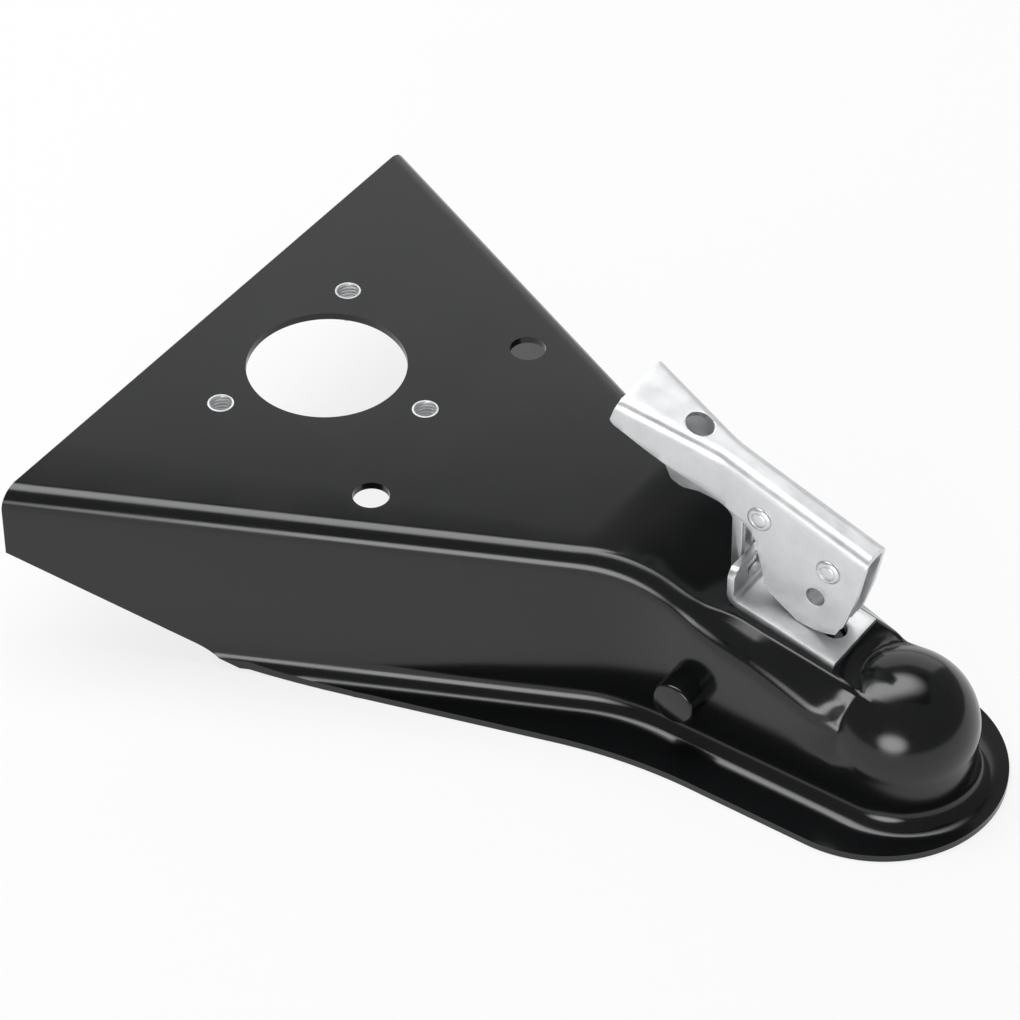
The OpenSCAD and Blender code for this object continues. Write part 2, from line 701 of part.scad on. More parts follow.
// Trigger, seen from the side about its own pivot: finger tab behind, leg and tooth below.
// Its curve was measured with a tab 44.3 long and a leg 35.4 long, and follows both lengths.
function on_trigger_curve(points) = [for (p = points) [p[0] * finger_l / 44.3, p[1] * leg_l / 35.4]];
module trigger_outline() {
    trigger_r = 0.158 * finger_l;
    circle(r = trigger_r);
    polygon(concat([[0, -trigger_r], [0, trigger_r]], on_trigger_curve([
        [-20, 7.6], [-42, 4], [-44.3, -2.5], [-42.8, -9.5], [-38, -14.6], [-32.5, -14.6],
        [-26, -10.8], [-15.5, -8.4], [-10.5, -10.7], [-2.2, -35.4], [3.3, -33.7], [2.6, -30.9],
        [1, -31.1], [-3.2, -17.8], [-6, -9.2]])));
}

module trigger_hollow() {
    polygon(on_trigger_curve([
        [9, 3], [9, 12], [-43, 12], [-41.2, 4], [-42.3, -2.5], [-40.9, -8.8], [-37.2, -12.6],
        [-33, -12.6], [-26.6, -8.9], [-15, -6.4], [-9, -9.2], [-3.4, -26], [8, -26], [8, -9]]));
}

module trigger() {
    color(zinc) on_trigger() difference() {
        across(trigger_w) trigger_outline();
        across(trigger_w - 2 * trigger_t) trigger_hollow();
        rotate([90, 0, 0]) cylinder(d = trigger_rivet_d + 2 * run_clear, h = trigger_w + 2, center = true);
    }
}

module trigger_spring() {
    r = trigger_rivet_d / 2 + coil_wire / 2 + 0.3;
    steps = round(14 * coil_turns);
    pitch = coil_wire + 0.1;
    start = -coil_turns * pitch / 2;
    coil = [for (i = [0:steps]) let (a = 360 * i / 14)
        [r * cos(a), start + pitch * i / 14, r * sin(a)]];
    color(steel) on_trigger() wire(coil, coil_wire);
}

coupler_body();
jack_nut(jack_screws[0]);  // jack_nut_front
jack_nut(jack_screws[1]);  // jack_nut_left
jack_nut(jack_screws[2]);  // jack_nut_right
latch_plate();
cross_pin();
clamp_spacer(1);  // clamp_spacer_left
clamp_spacer(-1);  // clamp_spacer_right
ball_clamp();
draw_bolt();
bolt_spring();
rocker_washer();
thrust_washer();
lock_nut();
release_lever();
lever_rivet();
trigger();
trigger_rivet();
trigger_spring();
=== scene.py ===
import math

import bmesh
import bpy
import numpy as np
from mathutils import Matrix, Vector


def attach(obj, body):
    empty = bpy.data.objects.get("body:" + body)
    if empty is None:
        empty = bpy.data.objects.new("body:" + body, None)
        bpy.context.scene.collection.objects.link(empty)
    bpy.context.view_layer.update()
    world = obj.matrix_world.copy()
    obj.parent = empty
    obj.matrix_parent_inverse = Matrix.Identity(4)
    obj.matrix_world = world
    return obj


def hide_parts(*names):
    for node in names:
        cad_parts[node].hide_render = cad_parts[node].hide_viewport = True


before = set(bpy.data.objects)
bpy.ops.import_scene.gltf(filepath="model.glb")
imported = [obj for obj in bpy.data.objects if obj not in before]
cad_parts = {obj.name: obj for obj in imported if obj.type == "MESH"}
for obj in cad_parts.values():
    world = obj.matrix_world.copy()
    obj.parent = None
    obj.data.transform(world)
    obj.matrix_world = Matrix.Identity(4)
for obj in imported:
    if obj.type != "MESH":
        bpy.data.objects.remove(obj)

print("frame loaded:", len(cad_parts), "nodes")
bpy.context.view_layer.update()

# All sizes below are millimetres in the coupling head's own frame: the ball's centre is the origin,
# X points forward, Y to the left and Z up. Meshes are turned to metres when they are made
mm = 0.001

head = {
    "domeR": 29.8,          # outside of the dome
    "wallHalf": 29.6,       # walls beside the socket, a hair inside the dome
    "sheet": 3.0,
    "topZ": 50.0,
    "skirtZ": -24.5,        # upper face of the skirt
    "rearX": -322.0,
    "rearHalf": 132.0,
    "rearDepth": 30.0,
    "railDeg": 25.0,        # each wall against the centre line
    "bendR": 8.5,
    "turnR": 80.0,
    "skirtX": -236.0,       # where the skirt starts
    "skirtDeg": 16.5,
    "skirtHalf": 50.5,
    "skirtTurnR": 200.0,
    "rimX": -9.7,           # centre of the round front of the skirt
    "footR": 8.0,
    "edgeOut": 2.0,
    "neckDeg": 11.4,
    "neckZ": 23.4,
    "neckHalf": 18.0,
    "seatX": -75.0,
    "rampDeg": 19.0,
    "crestR": 100.0,
    "shoulderZ": 3.6,
    "shoulderDeg": 26.1,
    "narrowAt": (20.0, 52.0),   # past the crest, where the top narrows to the neck
    "pivotBack": 39.4,      # of the lever, in the neck's own frame
}


def tand(a):
    return math.tan(math.radians(a))


def sind(a):
    return math.sin(math.radians(a))


def cosd(a):
    return math.cos(math.radians(a))


def linear(code):
    # sRGB hex to the linear colour that a shader socket takes
    c = np.array([int(code[i:i + 2], 16) for i in (1, 3, 5)]) / 255.0
    c = np.where(c <= 0.04045, c / 12.92, ((c + 0.055) / 1.055) ** 2.4)
    return (float(c[0]), float(c[1]), float(c[2]), 1.0)


# Camera: solved from the photograph, looking down at the left side of the housing
cameraSet = {
    "place": (0.549161, -1.059922, 1.166059),
    "right": (0.8247, 0.5656, 0.0),
    "up": (-0.3769, 0.5495, 0.7457),
    "back": (0.4218, -0.6149, 0.6663),
    "lens": 156.46,
    "sensor": 36.0,
}


def makeCamera():
    # Its three directions are the columns of its turn, and everything is in focus
    data = bpy.data.cameras.new("camera")
    data.lens = cameraSet["lens"]
    data.sensor_width = cameraSet["sensor"]
    data.clip_start = 0.05
    data.clip_end = 50
    data.dof.use_dof = False
    camera = bpy.data.objects.new("camera", data)
    right, up, back = (Vector(cameraSet[k]).normalized() for k in ("right", "up", "back"))
    turn = Matrix((right, up, back)).transposed().to_4x4()
    camera.matrix_world = Matrix.Translation(cameraSet["place"]) @ turn
    bpy.context.scene.collection.objects.link(camera)
    bpy.context.scene.camera = camera


makeCamera()
print("camera placed")


def addNode(tree, kind, settings=None, links=None):
    # One node with its plain settings, its socket values and what feeds it
    node = tree.nodes.new(kind)
    for name, value in (settings or {}).items():
        if name in node.inputs:
            node.inputs[name].default_value = value
        else:
            setattr(node, name, value)
    for name, source in (links or {}).items():
        tree.links.new(source, node.inputs[name])
    return node


def newMaterial(name):
    # A material with an empty node tree
    material = bpy.data.materials.new(name)
    material.use_nodes = True
    tree = material.node_tree
    tree.nodes.clear()
    return material, tree


def objectPoints(tree, scale):
    # Object coordinates in metres, stretched so that one unit is `scale` millimetres
    where = addNode(tree, "ShaderNodeTexCoord")
    k = 1 / (scale * mm)
    return addNode(tree, "ShaderNodeMapping", {"Scale": (k, k, k)}, {"Vector": where.outputs["Object"]})


def colourRange(tree, factor, s):
    # From the dark to the light colour of the settings s, as the factor goes from 0 to 1
    mix = addNode(tree, "ShaderNodeMix", {"data_type": "RGBA"}, {"Factor": factor})
    mix.inputs[6].default_value = linear(s["dark"])
    mix.inputs[7].default_value = linear(s["light"])
    return mix.outputs[2]


def roughRange(tree, factor, s):
    # From the finest to the dullest gloss, as the factor goes over the span of its noise
    gloss = addNode(tree, "ShaderNodeMapRange", {"From Min": s["span"][0], "From Max": s["span"][1],
                    "To Min": s["rough"][0], "To Max": s["rough"][1]}, {"Value": factor})
    return gloss.outputs[0]


# Black electrocoat over pressed steel: deep gloss, a faint orange peel that softens the reflections,
# and a little dust in the gloss
blackCoatSet = {
    "colour": "#0e0f10",
    "ior": 1.5,
    "rough": (0.13, 0.2),
    "span": (0.35, 0.7),    # of the noise, over which the gloss changes
    "peelMm": 1.6,          # width of the peel's waves
    "peelDepth": 0.004,     # their height in millimetres
    "cloudMm": 60.0,        # slow change of gloss over the sheet
}


def blackCoat():
    s = blackCoatSet
    material, tree = newMaterial("blackElectrocoat")
    cloud = addNode(tree, "ShaderNodeTexNoise", {"Scale": 1.0, "Detail": 3.0, "Roughness": 0.5},
                    {"Vector": objectPoints(tree, s["cloudMm"]).outputs[0]})
    gloss = roughRange(tree, cloud.outputs[0], s)
    peel = addNode(tree, "ShaderNodeTexNoise", {"Scale": 1.0, "Detail": 1.0, "Roughness": 0.4},
                   {"Vector": objectPoints(tree, s["peelMm"]).outputs[0]})
    bump = addNode(tree, "ShaderNodeBump", {"Strength": 1.0, "Distance": s["peelDepth"] * mm},
                   {"Height": peel.outputs[0]})
    shader = addNode(tree, "ShaderNodeBsdfPrincipled",
                     {"Base Color": linear(s["colour"]), "Metallic": 0.0, "IOR": s["ior"]},
                     {"Roughness": gloss, "Normal": bump.outputs[0]})
    addNode(tree, "ShaderNodeOutputMaterial", None, {"Surface": shader.outputs[0]})
    return material


# Bright zinc plate on cut steel sheet: pale silver, fine rolling grain, soft clouds in the plating
zincSet = {
    "light": "#e8e9ea",
    "dark": "#d9dbdd",
    "rough": (0.38, 0.5),
    "span": (0.3, 0.75),
    "cloudSpan": (0.3, 0.7),
    "cloudMm": 9.0,
    "grainMm": 0.6,         # the real grain is finer, drawn as coarse as it needs to show
    "grainDepth": 0.005,
}


def zincPlate():
    s = zincSet
    material, tree = newMaterial("brightZincPlate")
    cloud = addNode(tree, "ShaderNodeTexNoise", {"Scale": 1.0, "Detail": 4.0, "Roughness": 0.55},
                    {"Vector": objectPoints(tree, s["cloudMm"]).outputs[0]})
    spread = addNode(tree, "ShaderNodeMapRange", {"From Min": s["cloudSpan"][0],
                     "From Max": s["cloudSpan"][1]}, {"Value": cloud.outputs[0]})
    colour = colourRange(tree, spread.outputs[0], s)
    grain = addNode(tree, "ShaderNodeTexNoise", {"Scale": 1.0, "Detail": 2.0},
                    {"Vector": objectPoints(tree, s["grainMm"]).outputs[0]})
    gloss = roughRange(tree, cloud.outputs[0], s)
    bump = addNode(tree, "ShaderNodeBump", {"Strength": 1.0, "Distance": s["grainDepth"] * mm},
                   {"Height": grain.outputs[0]})
    shader = addNode(tree, "ShaderNodeBsdfPrincipled", {"Metallic": 1.0},
                     {"Base Color": colour, "Roughness": gloss, "Normal": bump.outputs[0]})
    addNode(tree, "ShaderNodeOutputMaterial", None, {"Surface": shader.outputs[0]})
    return material


# Plain drawn steel, oiled: darker grey, streaked finely, for wires, spacers and nuts
steelSet = {
    "light": "#a8aaac",
    "dark": "#7d7f82",
    "rough": (0.28, 0.45),
    "span": (0.3, 0.7),
    "streakMm": 2.5,
}


def plainSteel():
    s = steelSet
    material, tree = newMaterial("drawnSteel")
    streak = addNode(tree, "ShaderNodeTexNoise", {"Scale": 1.0, "Detail": 5.0, "Roughness": 0.6},
                     {"Vector": objectPoints(tree, s["streakMm"]).outputs[0]})
    colour = colourRange(tree, streak.outputs[0], s)
    gloss = roughRange(tree, streak.outputs[0], s)
    shader = addNode(tree, "ShaderNodeBsdfPrincipled", {"Metallic": 1.0},
                     {"Base Color": colour, "Roughness": gloss})
    addNode(tree, "ShaderNodeOutputMaterial", None, {"Surface": shader.outputs[0]})
    return material


# Forged and tumbled clamp under the same black coat: the skin of the forging shows as low bumps
forgedSet = {
    "colour": "#121314",
    "ior": 1.5,
    "rough": 0.3,
    "skinMm": 2.2,
    "skinDepth": 0.05,
}


def forgedCoat():
    s = forgedSet
    material, tree = newMaterial("coatedForging")
    skin = addNode(tree, "ShaderNodeTexNoise", {"Scale": 1.0, "Detail": 3.0},
                   {"Vector": objectPoints(tree, s["skinMm"]).outputs[0]})
    bump = addNode(tree, "ShaderNodeBump", {"Strength": 1.0, "Distance": s["skinDepth"] * mm},
                   {"Height": skin.outputs[0]})
    shader = addNode(tree, "ShaderNodeBsdfPrincipled",
                     {"Base Color": linear(s["colour"]), "Roughness": s["rough"], "IOR": s["ior"]},
                     {"Normal": bump.outputs[0]})
    addNode(tree, "ShaderNodeOutputMaterial", None, {"Surface": shader.outputs[0]})
    return material


coat = blackCoat()
zinc = zincPlate()
steel = plainSteel()
forged = forgedCoat()
print("materials made")


def gridFaces(rows, columns, closed=False):
    # Quads between neighbouring rows of a grid of points, as one array of indices
    across = columns if closed else columns - 1
    i, j = np.meshgrid(np.arange(rows - 1), np.arange(across), indexing="ij")
    k = (j + 1) % columns
    return np.stack([i * columns + j, i * columns + k, (i + 1) * columns + k, (i + 1) * columns + j],
                    axis=-1).reshape(-1, 4)


def makeMesh(name, points, faces, material):
    # A piece from points in millimetres, whatever the shape of their array, and faces as their indices
    mesh = bpy.data.meshes.new(name)
    mesh.from_pydata((np.asarray(points).reshape(-1, 3) * mm).tolist(), [], np.asarray(faces).tolist())
    mesh.materials.append(material)
    piece = bpy.data.objects.new(name, mesh)
    bpy.context.scene.collection.objects.link(piece)
    return piece


def tidyMesh(piece, gap=0.002, fixNormals=True):
    # Merges points closer than gap, drops empty faces and turns all faces outwards
    bm = bmesh.new()
    bm.from_mesh(piece.data)
    bmesh.ops.remove_doubles(bm, verts=bm.verts, dist=gap * mm)
    bmesh.ops.dissolve_degenerate(bm, edges=bm.edges, dist=gap * mm)
    if fixNormals:
        bmesh.ops.recalc_face_normals(bm, faces=bm.faces)
    bm.to_mesh(piece.data)
    bm.free()


def smooth(piece, degrees=35):
    # Smooth shading, with a hard line where two faces meet at more than the angle
    piece.data.shade_smooth()
    piece.data.set_sharp_from_angle(angle=math.radians(degrees))


def bake(piece):
    # Applies the piece's modifiers to its mesh
    graph = bpy.context.evaluated_depsgraph_get()
    mesh = bpy.data.meshes.new_from_object(piece.evaluated_get(graph), depsgraph=graph)
    old = piece.data
    piece.modifiers.clear()
    piece.data = mesh
    mesh.name = old.name
    bpy.data.meshes.remove(old)


def thicken(piece, thickness):
    # Gives a sheet its wall, on the side that its faces look away from
    wall = piece.modifiers.new("sheet", "SOLIDIFY")
    wall.thickness = thickness * mm
    wall.offset = -1
    wall.use_even_offset = True


def cutter(name, rings):
    # Closed prism for each ring of points, all in one mesh; a ring is an outline, a start and a vector
    points = []
    faces = []
    for outline, start, along in rings:
        outline = np.asarray(outline, float)
        n = len(outline)
        first = sum(len(p) for p in points)
        low = outline + np.asarray(start)
        points.append(np.vstack([low, low + np.asarray(along)]))
        faces += [list(range(first + n - 1, first - 1, -1)), list(range(first + n, first + 2 * n))]
        faces += [[first + i, first + (i + 1) % n, first + n + (i + 1) % n, first + n + i] for i in range(n)]
    mesh = bpy.data.meshes.new(name)
    mesh.from_pydata((np.vstack(points) * mm).tolist(), [], faces)
    piece = bpy.data.objects.new(name, mesh)
    bpy.context.scene.collection.objects.link(piece)
    tidyMesh(piece)
    return piece


def cut(piece, tool, operation="DIFFERENCE"):
    # Takes the tool out of the piece, or keeps only what lies inside it, and removes the tool
    change = piece.modifiers.new("cut", "BOOLEAN")
    change.operation = operation
    change.solver = "EXACT"
    change.object = tool
    bake(piece)
    mesh = tool.data
    bpy.data.objects.remove(tool)
    bpy.data.meshes.remove(mesh)


def circle(r, steps=64):
    # Points (r cos a, r sin a, 0) once round
    a = np.linspace(0, 2 * np.pi, steps, endpoint=False)
    return np.stack([r * np.cos(a), r * np.sin(a), 0 * a], axis=1)


# Housing: one pressed sheet
shellSet = {
    "rearStations": 22,     # sections, far apart along the straight rear
    "stations": 90,         # along the bend of the walls and the neck
    "domeStations": 110,    # and closer together where the dome comes out
    "wallsFrom": -150.0,
    "domeFrom": -48.0,
    "topSteps": 5,
    "foldSteps": 12,
    "chamferSteps": 8,
    "wallSteps": 10,
    "footSteps": 10,
    "skirtSteps": 3,
    "noseSteps": 56,
    "blend": 0.12,          # height of the rounding where ramp and seat meet
    "arcShare": 0.98,       # of the fold's radius, which leaves a short straight beside it
    "shoulderR": 13.0,      # fold between the neck's shoulder and the wall
    "crease": 1.6,          # height over which the dome's crease is rounded
    "creaseRun": 8.0,       # length over which that rounding comes in behind the middle
    "groove": 2.5,          # hollow of the neck around the back of the dome
    "grooveW": 3.4,
    "grooveBack": (4.0, 8.0),   # it starts this far behind the middle and is full after the second length
    "grooveUp": (-2.0, 10.0),   # the same for its height
    "sideZ": 20.0,          # below this height the groove is wider and deeper
    "sideRun": 6.0,         # and fully so this much lower
    "sideMore": 0.4,        # share by which it is deeper there
    "domeLow": -4.0,        # lower end of the dome's form
}
h = head
straightEndX = h["rearX"] + (h["rearHalf"] - h["wallHalf"]) / tand(h["railDeg"])
turnEndX = straightEndX + h["turnR"] * tand(h["railDeg"] / 2)
turnStartX = turnEndX - h["turnR"] * sind(h["railDeg"])
rampZ = h["neckZ"] - tand(h["neckDeg"]) * h["seatX"]
crestX = h["seatX"] - (h["topZ"] - rampZ) / tand(h["rampDeg"])
crestStartX = crestX - h["crestR"] * tand(h["rampDeg"] / 2)
crestEndX = crestStartX + h["crestR"] * sind(h["rampDeg"])


def wallY(x):
    # Straight at the rail's angle, then a circle of turnR, then parallel beside the socket
    straight = h["rearHalf"] - tand(h["railDeg"]) * (x - h["rearX"])
    inTurn = np.clip(x - turnEndX, -h["turnR"] * sind(h["railDeg"]), 0)
    arc = h["wallHalf"] + h["turnR"] - np.sqrt(h["turnR"] ** 2 - inTurn ** 2)
    return np.where(x < turnStartX, straight, arc)


def wallLean(x):
    # Angle of the wall against the centre line, in radians
    return np.arcsin(np.clip((turnEndX - x) / h["turnR"], 0, sind(h["railDeg"])))


def topZ(x):
    # Flat top, a crest of radius crestR, a ramp, then the sloping seat of the latch
    past = np.maximum(x - crestStartX, 0)
    crest = h["topZ"] - h["crestR"] + np.sqrt(np.maximum(h["crestR"] ** 2 - past ** 2, 1))
    ramp = rampZ - tand(h["rampDeg"]) * (x - h["seatX"])
    seat = h["neckZ"] - tand(h["neckDeg"]) * x
    # The seat meets the ramp in a blend a few millimetres long
    low = smoothMax(ramp, seat, shellSet["blend"])
    return np.where(x < crestStartX, h["topZ"], np.where(x < crestEndX, crest, low))


def smoothMax(a, b, r):
    # The larger of the two, with a rounded step about r high where they cross
    return 0.5 * (a + b + np.sqrt((a - b) ** 2 + 4 * r * r))


def skirtY(x):
    # Edge of the skirt: along the walls, in at the skirt's angle, an arc, a parallel run and the round rim
    edge0 = float(wallY(np.array(h["skirtX"]))) + h["edgeOut"]
    r = h["skirtTurnR"]
    turnX = h["skirtX"] + (edge0 - h["skirtHalf"] - r * (1 - cosd(h["skirtDeg"]))) / tand(h["skirtDeg"])
    endX = turnX + r * sind(h["skirtDeg"])
    straight = edge0 - tand(h["skirtDeg"]) * (x - h["skirtX"])
    inArc = np.clip(endX - x, 0, r * sind(h["skirtDeg"]))
    arc = h["skirtHalf"] + r - np.sqrt(r * r - inArc ** 2)
    rim = np.sqrt(np.maximum(h["skirtHalf"] ** 2 - np.maximum(x - h["rimX"], 0) ** 2, 1))
    return np.where(x < turnX, straight, np.where(x < h["rimX"], arc, rim))


def arcPoints(corner, r, a0, a1, steps):
    # Arc of radius r in the corner, between two directions of its normal, as (out, up) from the wall line
    half = (a1 - a0) / 2
    mid = (a0 + a1) / 2
    a = a0[:, None] + (a1 - a0)[:, None] * np.linspace(0, 1, steps)[None, :]
    o = corner[0] - r * np.sin(mid) / np.cos(half)
    p = corner[1] - r * np.cos(mid) / np.cos(half)
    return o[:, None] + r[:, None] * np.sin(a), p[:, None] + r[:, None] * np.cos(a)


def halfSections(x):
    # One row for each station: from the middle of the top over the fold, the shoulder and its fold, down the
    # wall, round the foot and out to the edge of the skirt. The share f goes from the flat top to the neck by
    # a step whose slope and curvature are zero at both ends
    s = shellSet
    zero = 0 * x
    stretch = 1 / np.cos(wallLean(x))
    start, end = crestX + h["narrowAt"][0], crestX + h["narrowAt"][1]
    t = np.clip((x - start) / (end - start), 0, 1)
    f = t ** 3 * (10 - 15 * t + 6 * t * t)
    yWall = wallY(x)
    zTop = topZ(x)
    foldCut = h["bendR"] * (2 - math.sqrt(2))
    drop = np.maximum(foldCut, zTop - h["shoulderZ"] + tand(h["shoulderDeg"]) * x)
    inTop = -foldCut * (1 - f) + f * (h["neckHalf"] - yWall) / stretch
    face = np.arctan2(drop, -inTop)
    rTop = s["arcShare"] * h["bendR"] * ((1 - f) + f / 2)
    rShoulder = s["arcShare"] * h["bendR"] * (1 - f) + s["shoulderR"] * f
    topArc = arcPoints((inTop, zTop), rTop, zero, face, s["foldSteps"])
    sideArc = arcPoints((zero, zTop - drop), rShoulder, face, zero + np.pi / 2, s["foldSteps"])
    wallEnd = zero + h["skirtZ"] + h["footR"]
    room = (skirtY(x) - yWall) / stretch
    a = zero[:, None] + np.pi / 2 * np.linspace(0, 1, s["footSteps"] + 1)[None, 1:]
    foot = (h["footR"] * (1 - np.cos(a)), wallEnd[:, None] - h["footR"] * np.sin(a))
    first = np.linspace(0, 1, s["topSteps"])[None, :-1]
    fromMiddle = -yWall / stretch
    top = (fromMiddle[:, None] + (topArc[0][:, :1] - fromMiddle[:, None]) * first, zTop[:, None] + 0 * first)
    run = np.linspace(0, 1, s["chamferSteps"] + 2)[None, 1:-1]
    chamfer = tuple(topArc[k][:, -1:] + (sideArc[k][:, :1] - topArc[k][:, -1:]) * run for k in (0, 1))
    down = np.linspace(0, 1, s["wallSteps"] + 1)[None, 1:]
    wall = (0 * down + zero[:, None], sideArc[1][:, -1:] + (wallEnd[:, None] - sideArc[1][:, -1:]) * down)
    out = np.linspace(0, 1, s["skirtSteps"] + 1)[None, 1:]
    lastOut = foot[0][:, -1:]
    goOut = np.maximum(np.where(x < h["skirtX"], 0, room)[:, None] - lastOut, 0)
    skirt = (lastOut + goOut * out, foot[1][:, -1:] + 0 * out)
    parts = (top, topArc, chamfer, sideArc, wall, foot, skirt)
    o, z = (np.concatenate([p[k] for p in parts], axis=1) for k in (0, 1))
    return yWall[:, None] + o * stretch[:, None], z


def comesIn(value, start, run):
    # 0 up to the start, 1 from start + run on, and straight between
    return np.clip((value - start) / run, 0, 1)


def withDome(x, y, z):
    # Pushes a section out to the dome: along each ray from the centre the farther of the two counts, and
    # near the crossing a short rounding is added. Close behind the dome the neck is pressed in a little,
    # with a bell-shaped groove
    s = shellSet
    dome = np.sqrt(np.maximum(h["domeR"] ** 2 - x ** 2, 0))[:, None]
    reach = np.hypot(y, z)
    away = np.maximum(np.hypot(x[:, None], reach) - h["domeR"], 0)
    back = -x[:, None]
    where = comesIn(back, *s["grooveBack"]) * comesIn(z, *s["grooveUp"])
    side = comesIn(-z, -s["sideZ"], s["sideRun"])
    depth = s["groove"] * (1 + s["sideMore"] * side)
    low = reach - depth * np.exp(-(away / s["grooveW"] / (1 + side)) ** 2) * where
    near = np.clip(1 - np.abs(low - dome) / s["crease"], 0, 1) * comesIn(back, 0, s["creaseRun"])
    out = np.where(z > s["domeLow"], np.maximum(low, dome) + near ** 2 * s["crease"] / 4, reach)
    k = out / np.maximum(reach, 1e-6)
    return y * k, z * k


def shellGrid():
    # The grid runs along the left side to the front, round the nose and back along the right side
    s = shellSet
    rear = np.linspace(h["rearX"], s["wallsFrom"], s["rearStations"])[:-1]
    walls = np.linspace(s["wallsFrom"], s["domeFrom"], s["stations"])[:-1]
    front = np.linspace(s["domeFrom"], 0, s["domeStations"])
    x = np.sort(np.concatenate([rear, [h["skirtX"], h["skirtX"] + 0.01], walls, front]))
    y, z = halfSections(x)
    y, z = withDome(x, y, z)
    left = np.stack([x[:, None] + 0 * y, y, z], axis=-1)
    right = left[::-1] * np.array([1, -1, 1])
    # Nose: the middle section turns about the ball's upright axis, and the skirt follows the rim
    a = np.radians(np.linspace(90, -90, s["noseSteps"] + 2)[1:-1])[:, None]
    r = y[-1][None, :] + 0 * a
    flat = s["skirtSteps"]
    rim = h["rimX"] * np.cos(a) + np.sqrt(h["skirtHalf"] ** 2 - (h["rimX"] * np.sin(a)) ** 2)
    steps = np.linspace(0, 1, flat + 1)[None, 1:]
    inner = r[:, -flat - 1][:, None]
    r = np.concatenate([r[:, :-flat], inner + (rim - inner) * steps], axis=1)
    nose = np.stack([r * np.cos(a), r * np.sin(a), z[-1][None, :] + 0 * r], axis=-1)
    return np.concatenate([left, nose, right], axis=0)


def slotOutline(length, width, steps=24):
    # Two half circles of the slot's width, as far apart as its length leaves
    a = np.linspace(-90, 90, steps)
    end = (length - width) / 2
    x = np.concatenate([end + width / 2 * np.cos(np.radians(a)), -end - width / 2 * np.cos(np.radians(a))])
    y = np.concatenate([width / 2 * np.sin(np.radians(a)), -width / 2 * np.sin(np.radians(a))])
    return np.stack([x, y, 0 * x], axis=1)


holeSet = {
    "jack": (-265.0, 0.0, 63.5),
    "screws": ((-217.7, 0.0), (-285.3, 42.0), (-285.3, -42.0)),
    "collar": 10.6,
    "frameHoles": ((-205.5, 52.8), (-205.5, -52.8)),
    "frameHole": 14.3,
    "pinAt": (-77.4, -1.6),
    "pin": 18.0,
    "slot": (24.0, 10.6),
    "under": 8.0,           # how far the drills start below the top, and reach above it
    "over": 4.0,
    "pinReach": 60.0,       # to each side
}
# The two trims of the blank, with room around the part
trimSet = {
    "past": 10.0,           # behind the rear edge
    "into": 4.0,            # over the start of the skirt
    "half": 160.0,
    "low": -60.0,
    "high": -12.0,
    "out": 60.0,
    "end": (8.0, 1.5),      # last step of the upright trim, along and outwards
}


def turned(points, degrees):
    # Turned about the Y axis, the front end going down
    c, d = cosd(degrees), sind(degrees)
    return points @ np.array([[c, 0, -d], [0, 1, 0], [d, 0, c]])


def rearCuts():
    # What the blank's cuts take away: below a sloping line behind the skirt, and outside an upright edge
    # that follows the walls and then the skirt until the foot has its full width
    s = trimSet
    rear, start = h["rearX"] - s["past"], h["skirtX"]
    slope = (h["topZ"] - h["rearDepth"] - h["skirtZ"] + h["sheet"]) / (h["skirtX"] - h["rearX"])
    x = np.array([rear, start + s["into"]])
    z = h["skirtZ"] - h["sheet"] - slope * (x - start)
    below = np.stack([x[[0, 1, 1, 0]], np.full(4, -s["half"]), np.append(z, [s["low"]] * 2)], axis=1)
    grows = tand(h["railDeg"]) - tand(h["skirtDeg"])
    full = start + (h["footR"] / cosd(h["railDeg"]) - h["edgeOut"]) / grows
    end = full + s["end"][0]
    x = np.concatenate([[rear, start], np.linspace(start, full, 12)[1:], [end, end]])
    y = np.where(x < start, wallY(x) + h["edgeOut"], skirtY(x))
    y[-2:] += np.array([s["end"][1], s["out"]])
    x, y = np.append(x, x[0]), np.append(y, y[0] + s["out"])
    left = np.stack([x, y, 0 * x + s["low"]], axis=1)
    up, across, none = (0, 0, s["high"] - s["low"]), (0, 2 * s["half"], 0), (0, 0, 0)
    return [(below, none, across)], [(left, none, up), (left * np.array([1, -1, 1]), none, up)]


def squareRear(shell):
    # The sheet's thickness leans back at the end of each wall; it slides along the wall to the rear edge
    p = np.empty(len(shell.data.vertices) * 3)
    shell.data.vertices.foreach_get("co", p)
    p = p.reshape(-1, 3)
    over = np.maximum(h["rearX"] * mm - p[:, 0], 0)
    p[:, 1] -= np.sign(p[:, 1]) * tand(h["railDeg"]) * over
    p[:, 0] += over
    shell.data.vertices.foreach_set("co", p.ravel())


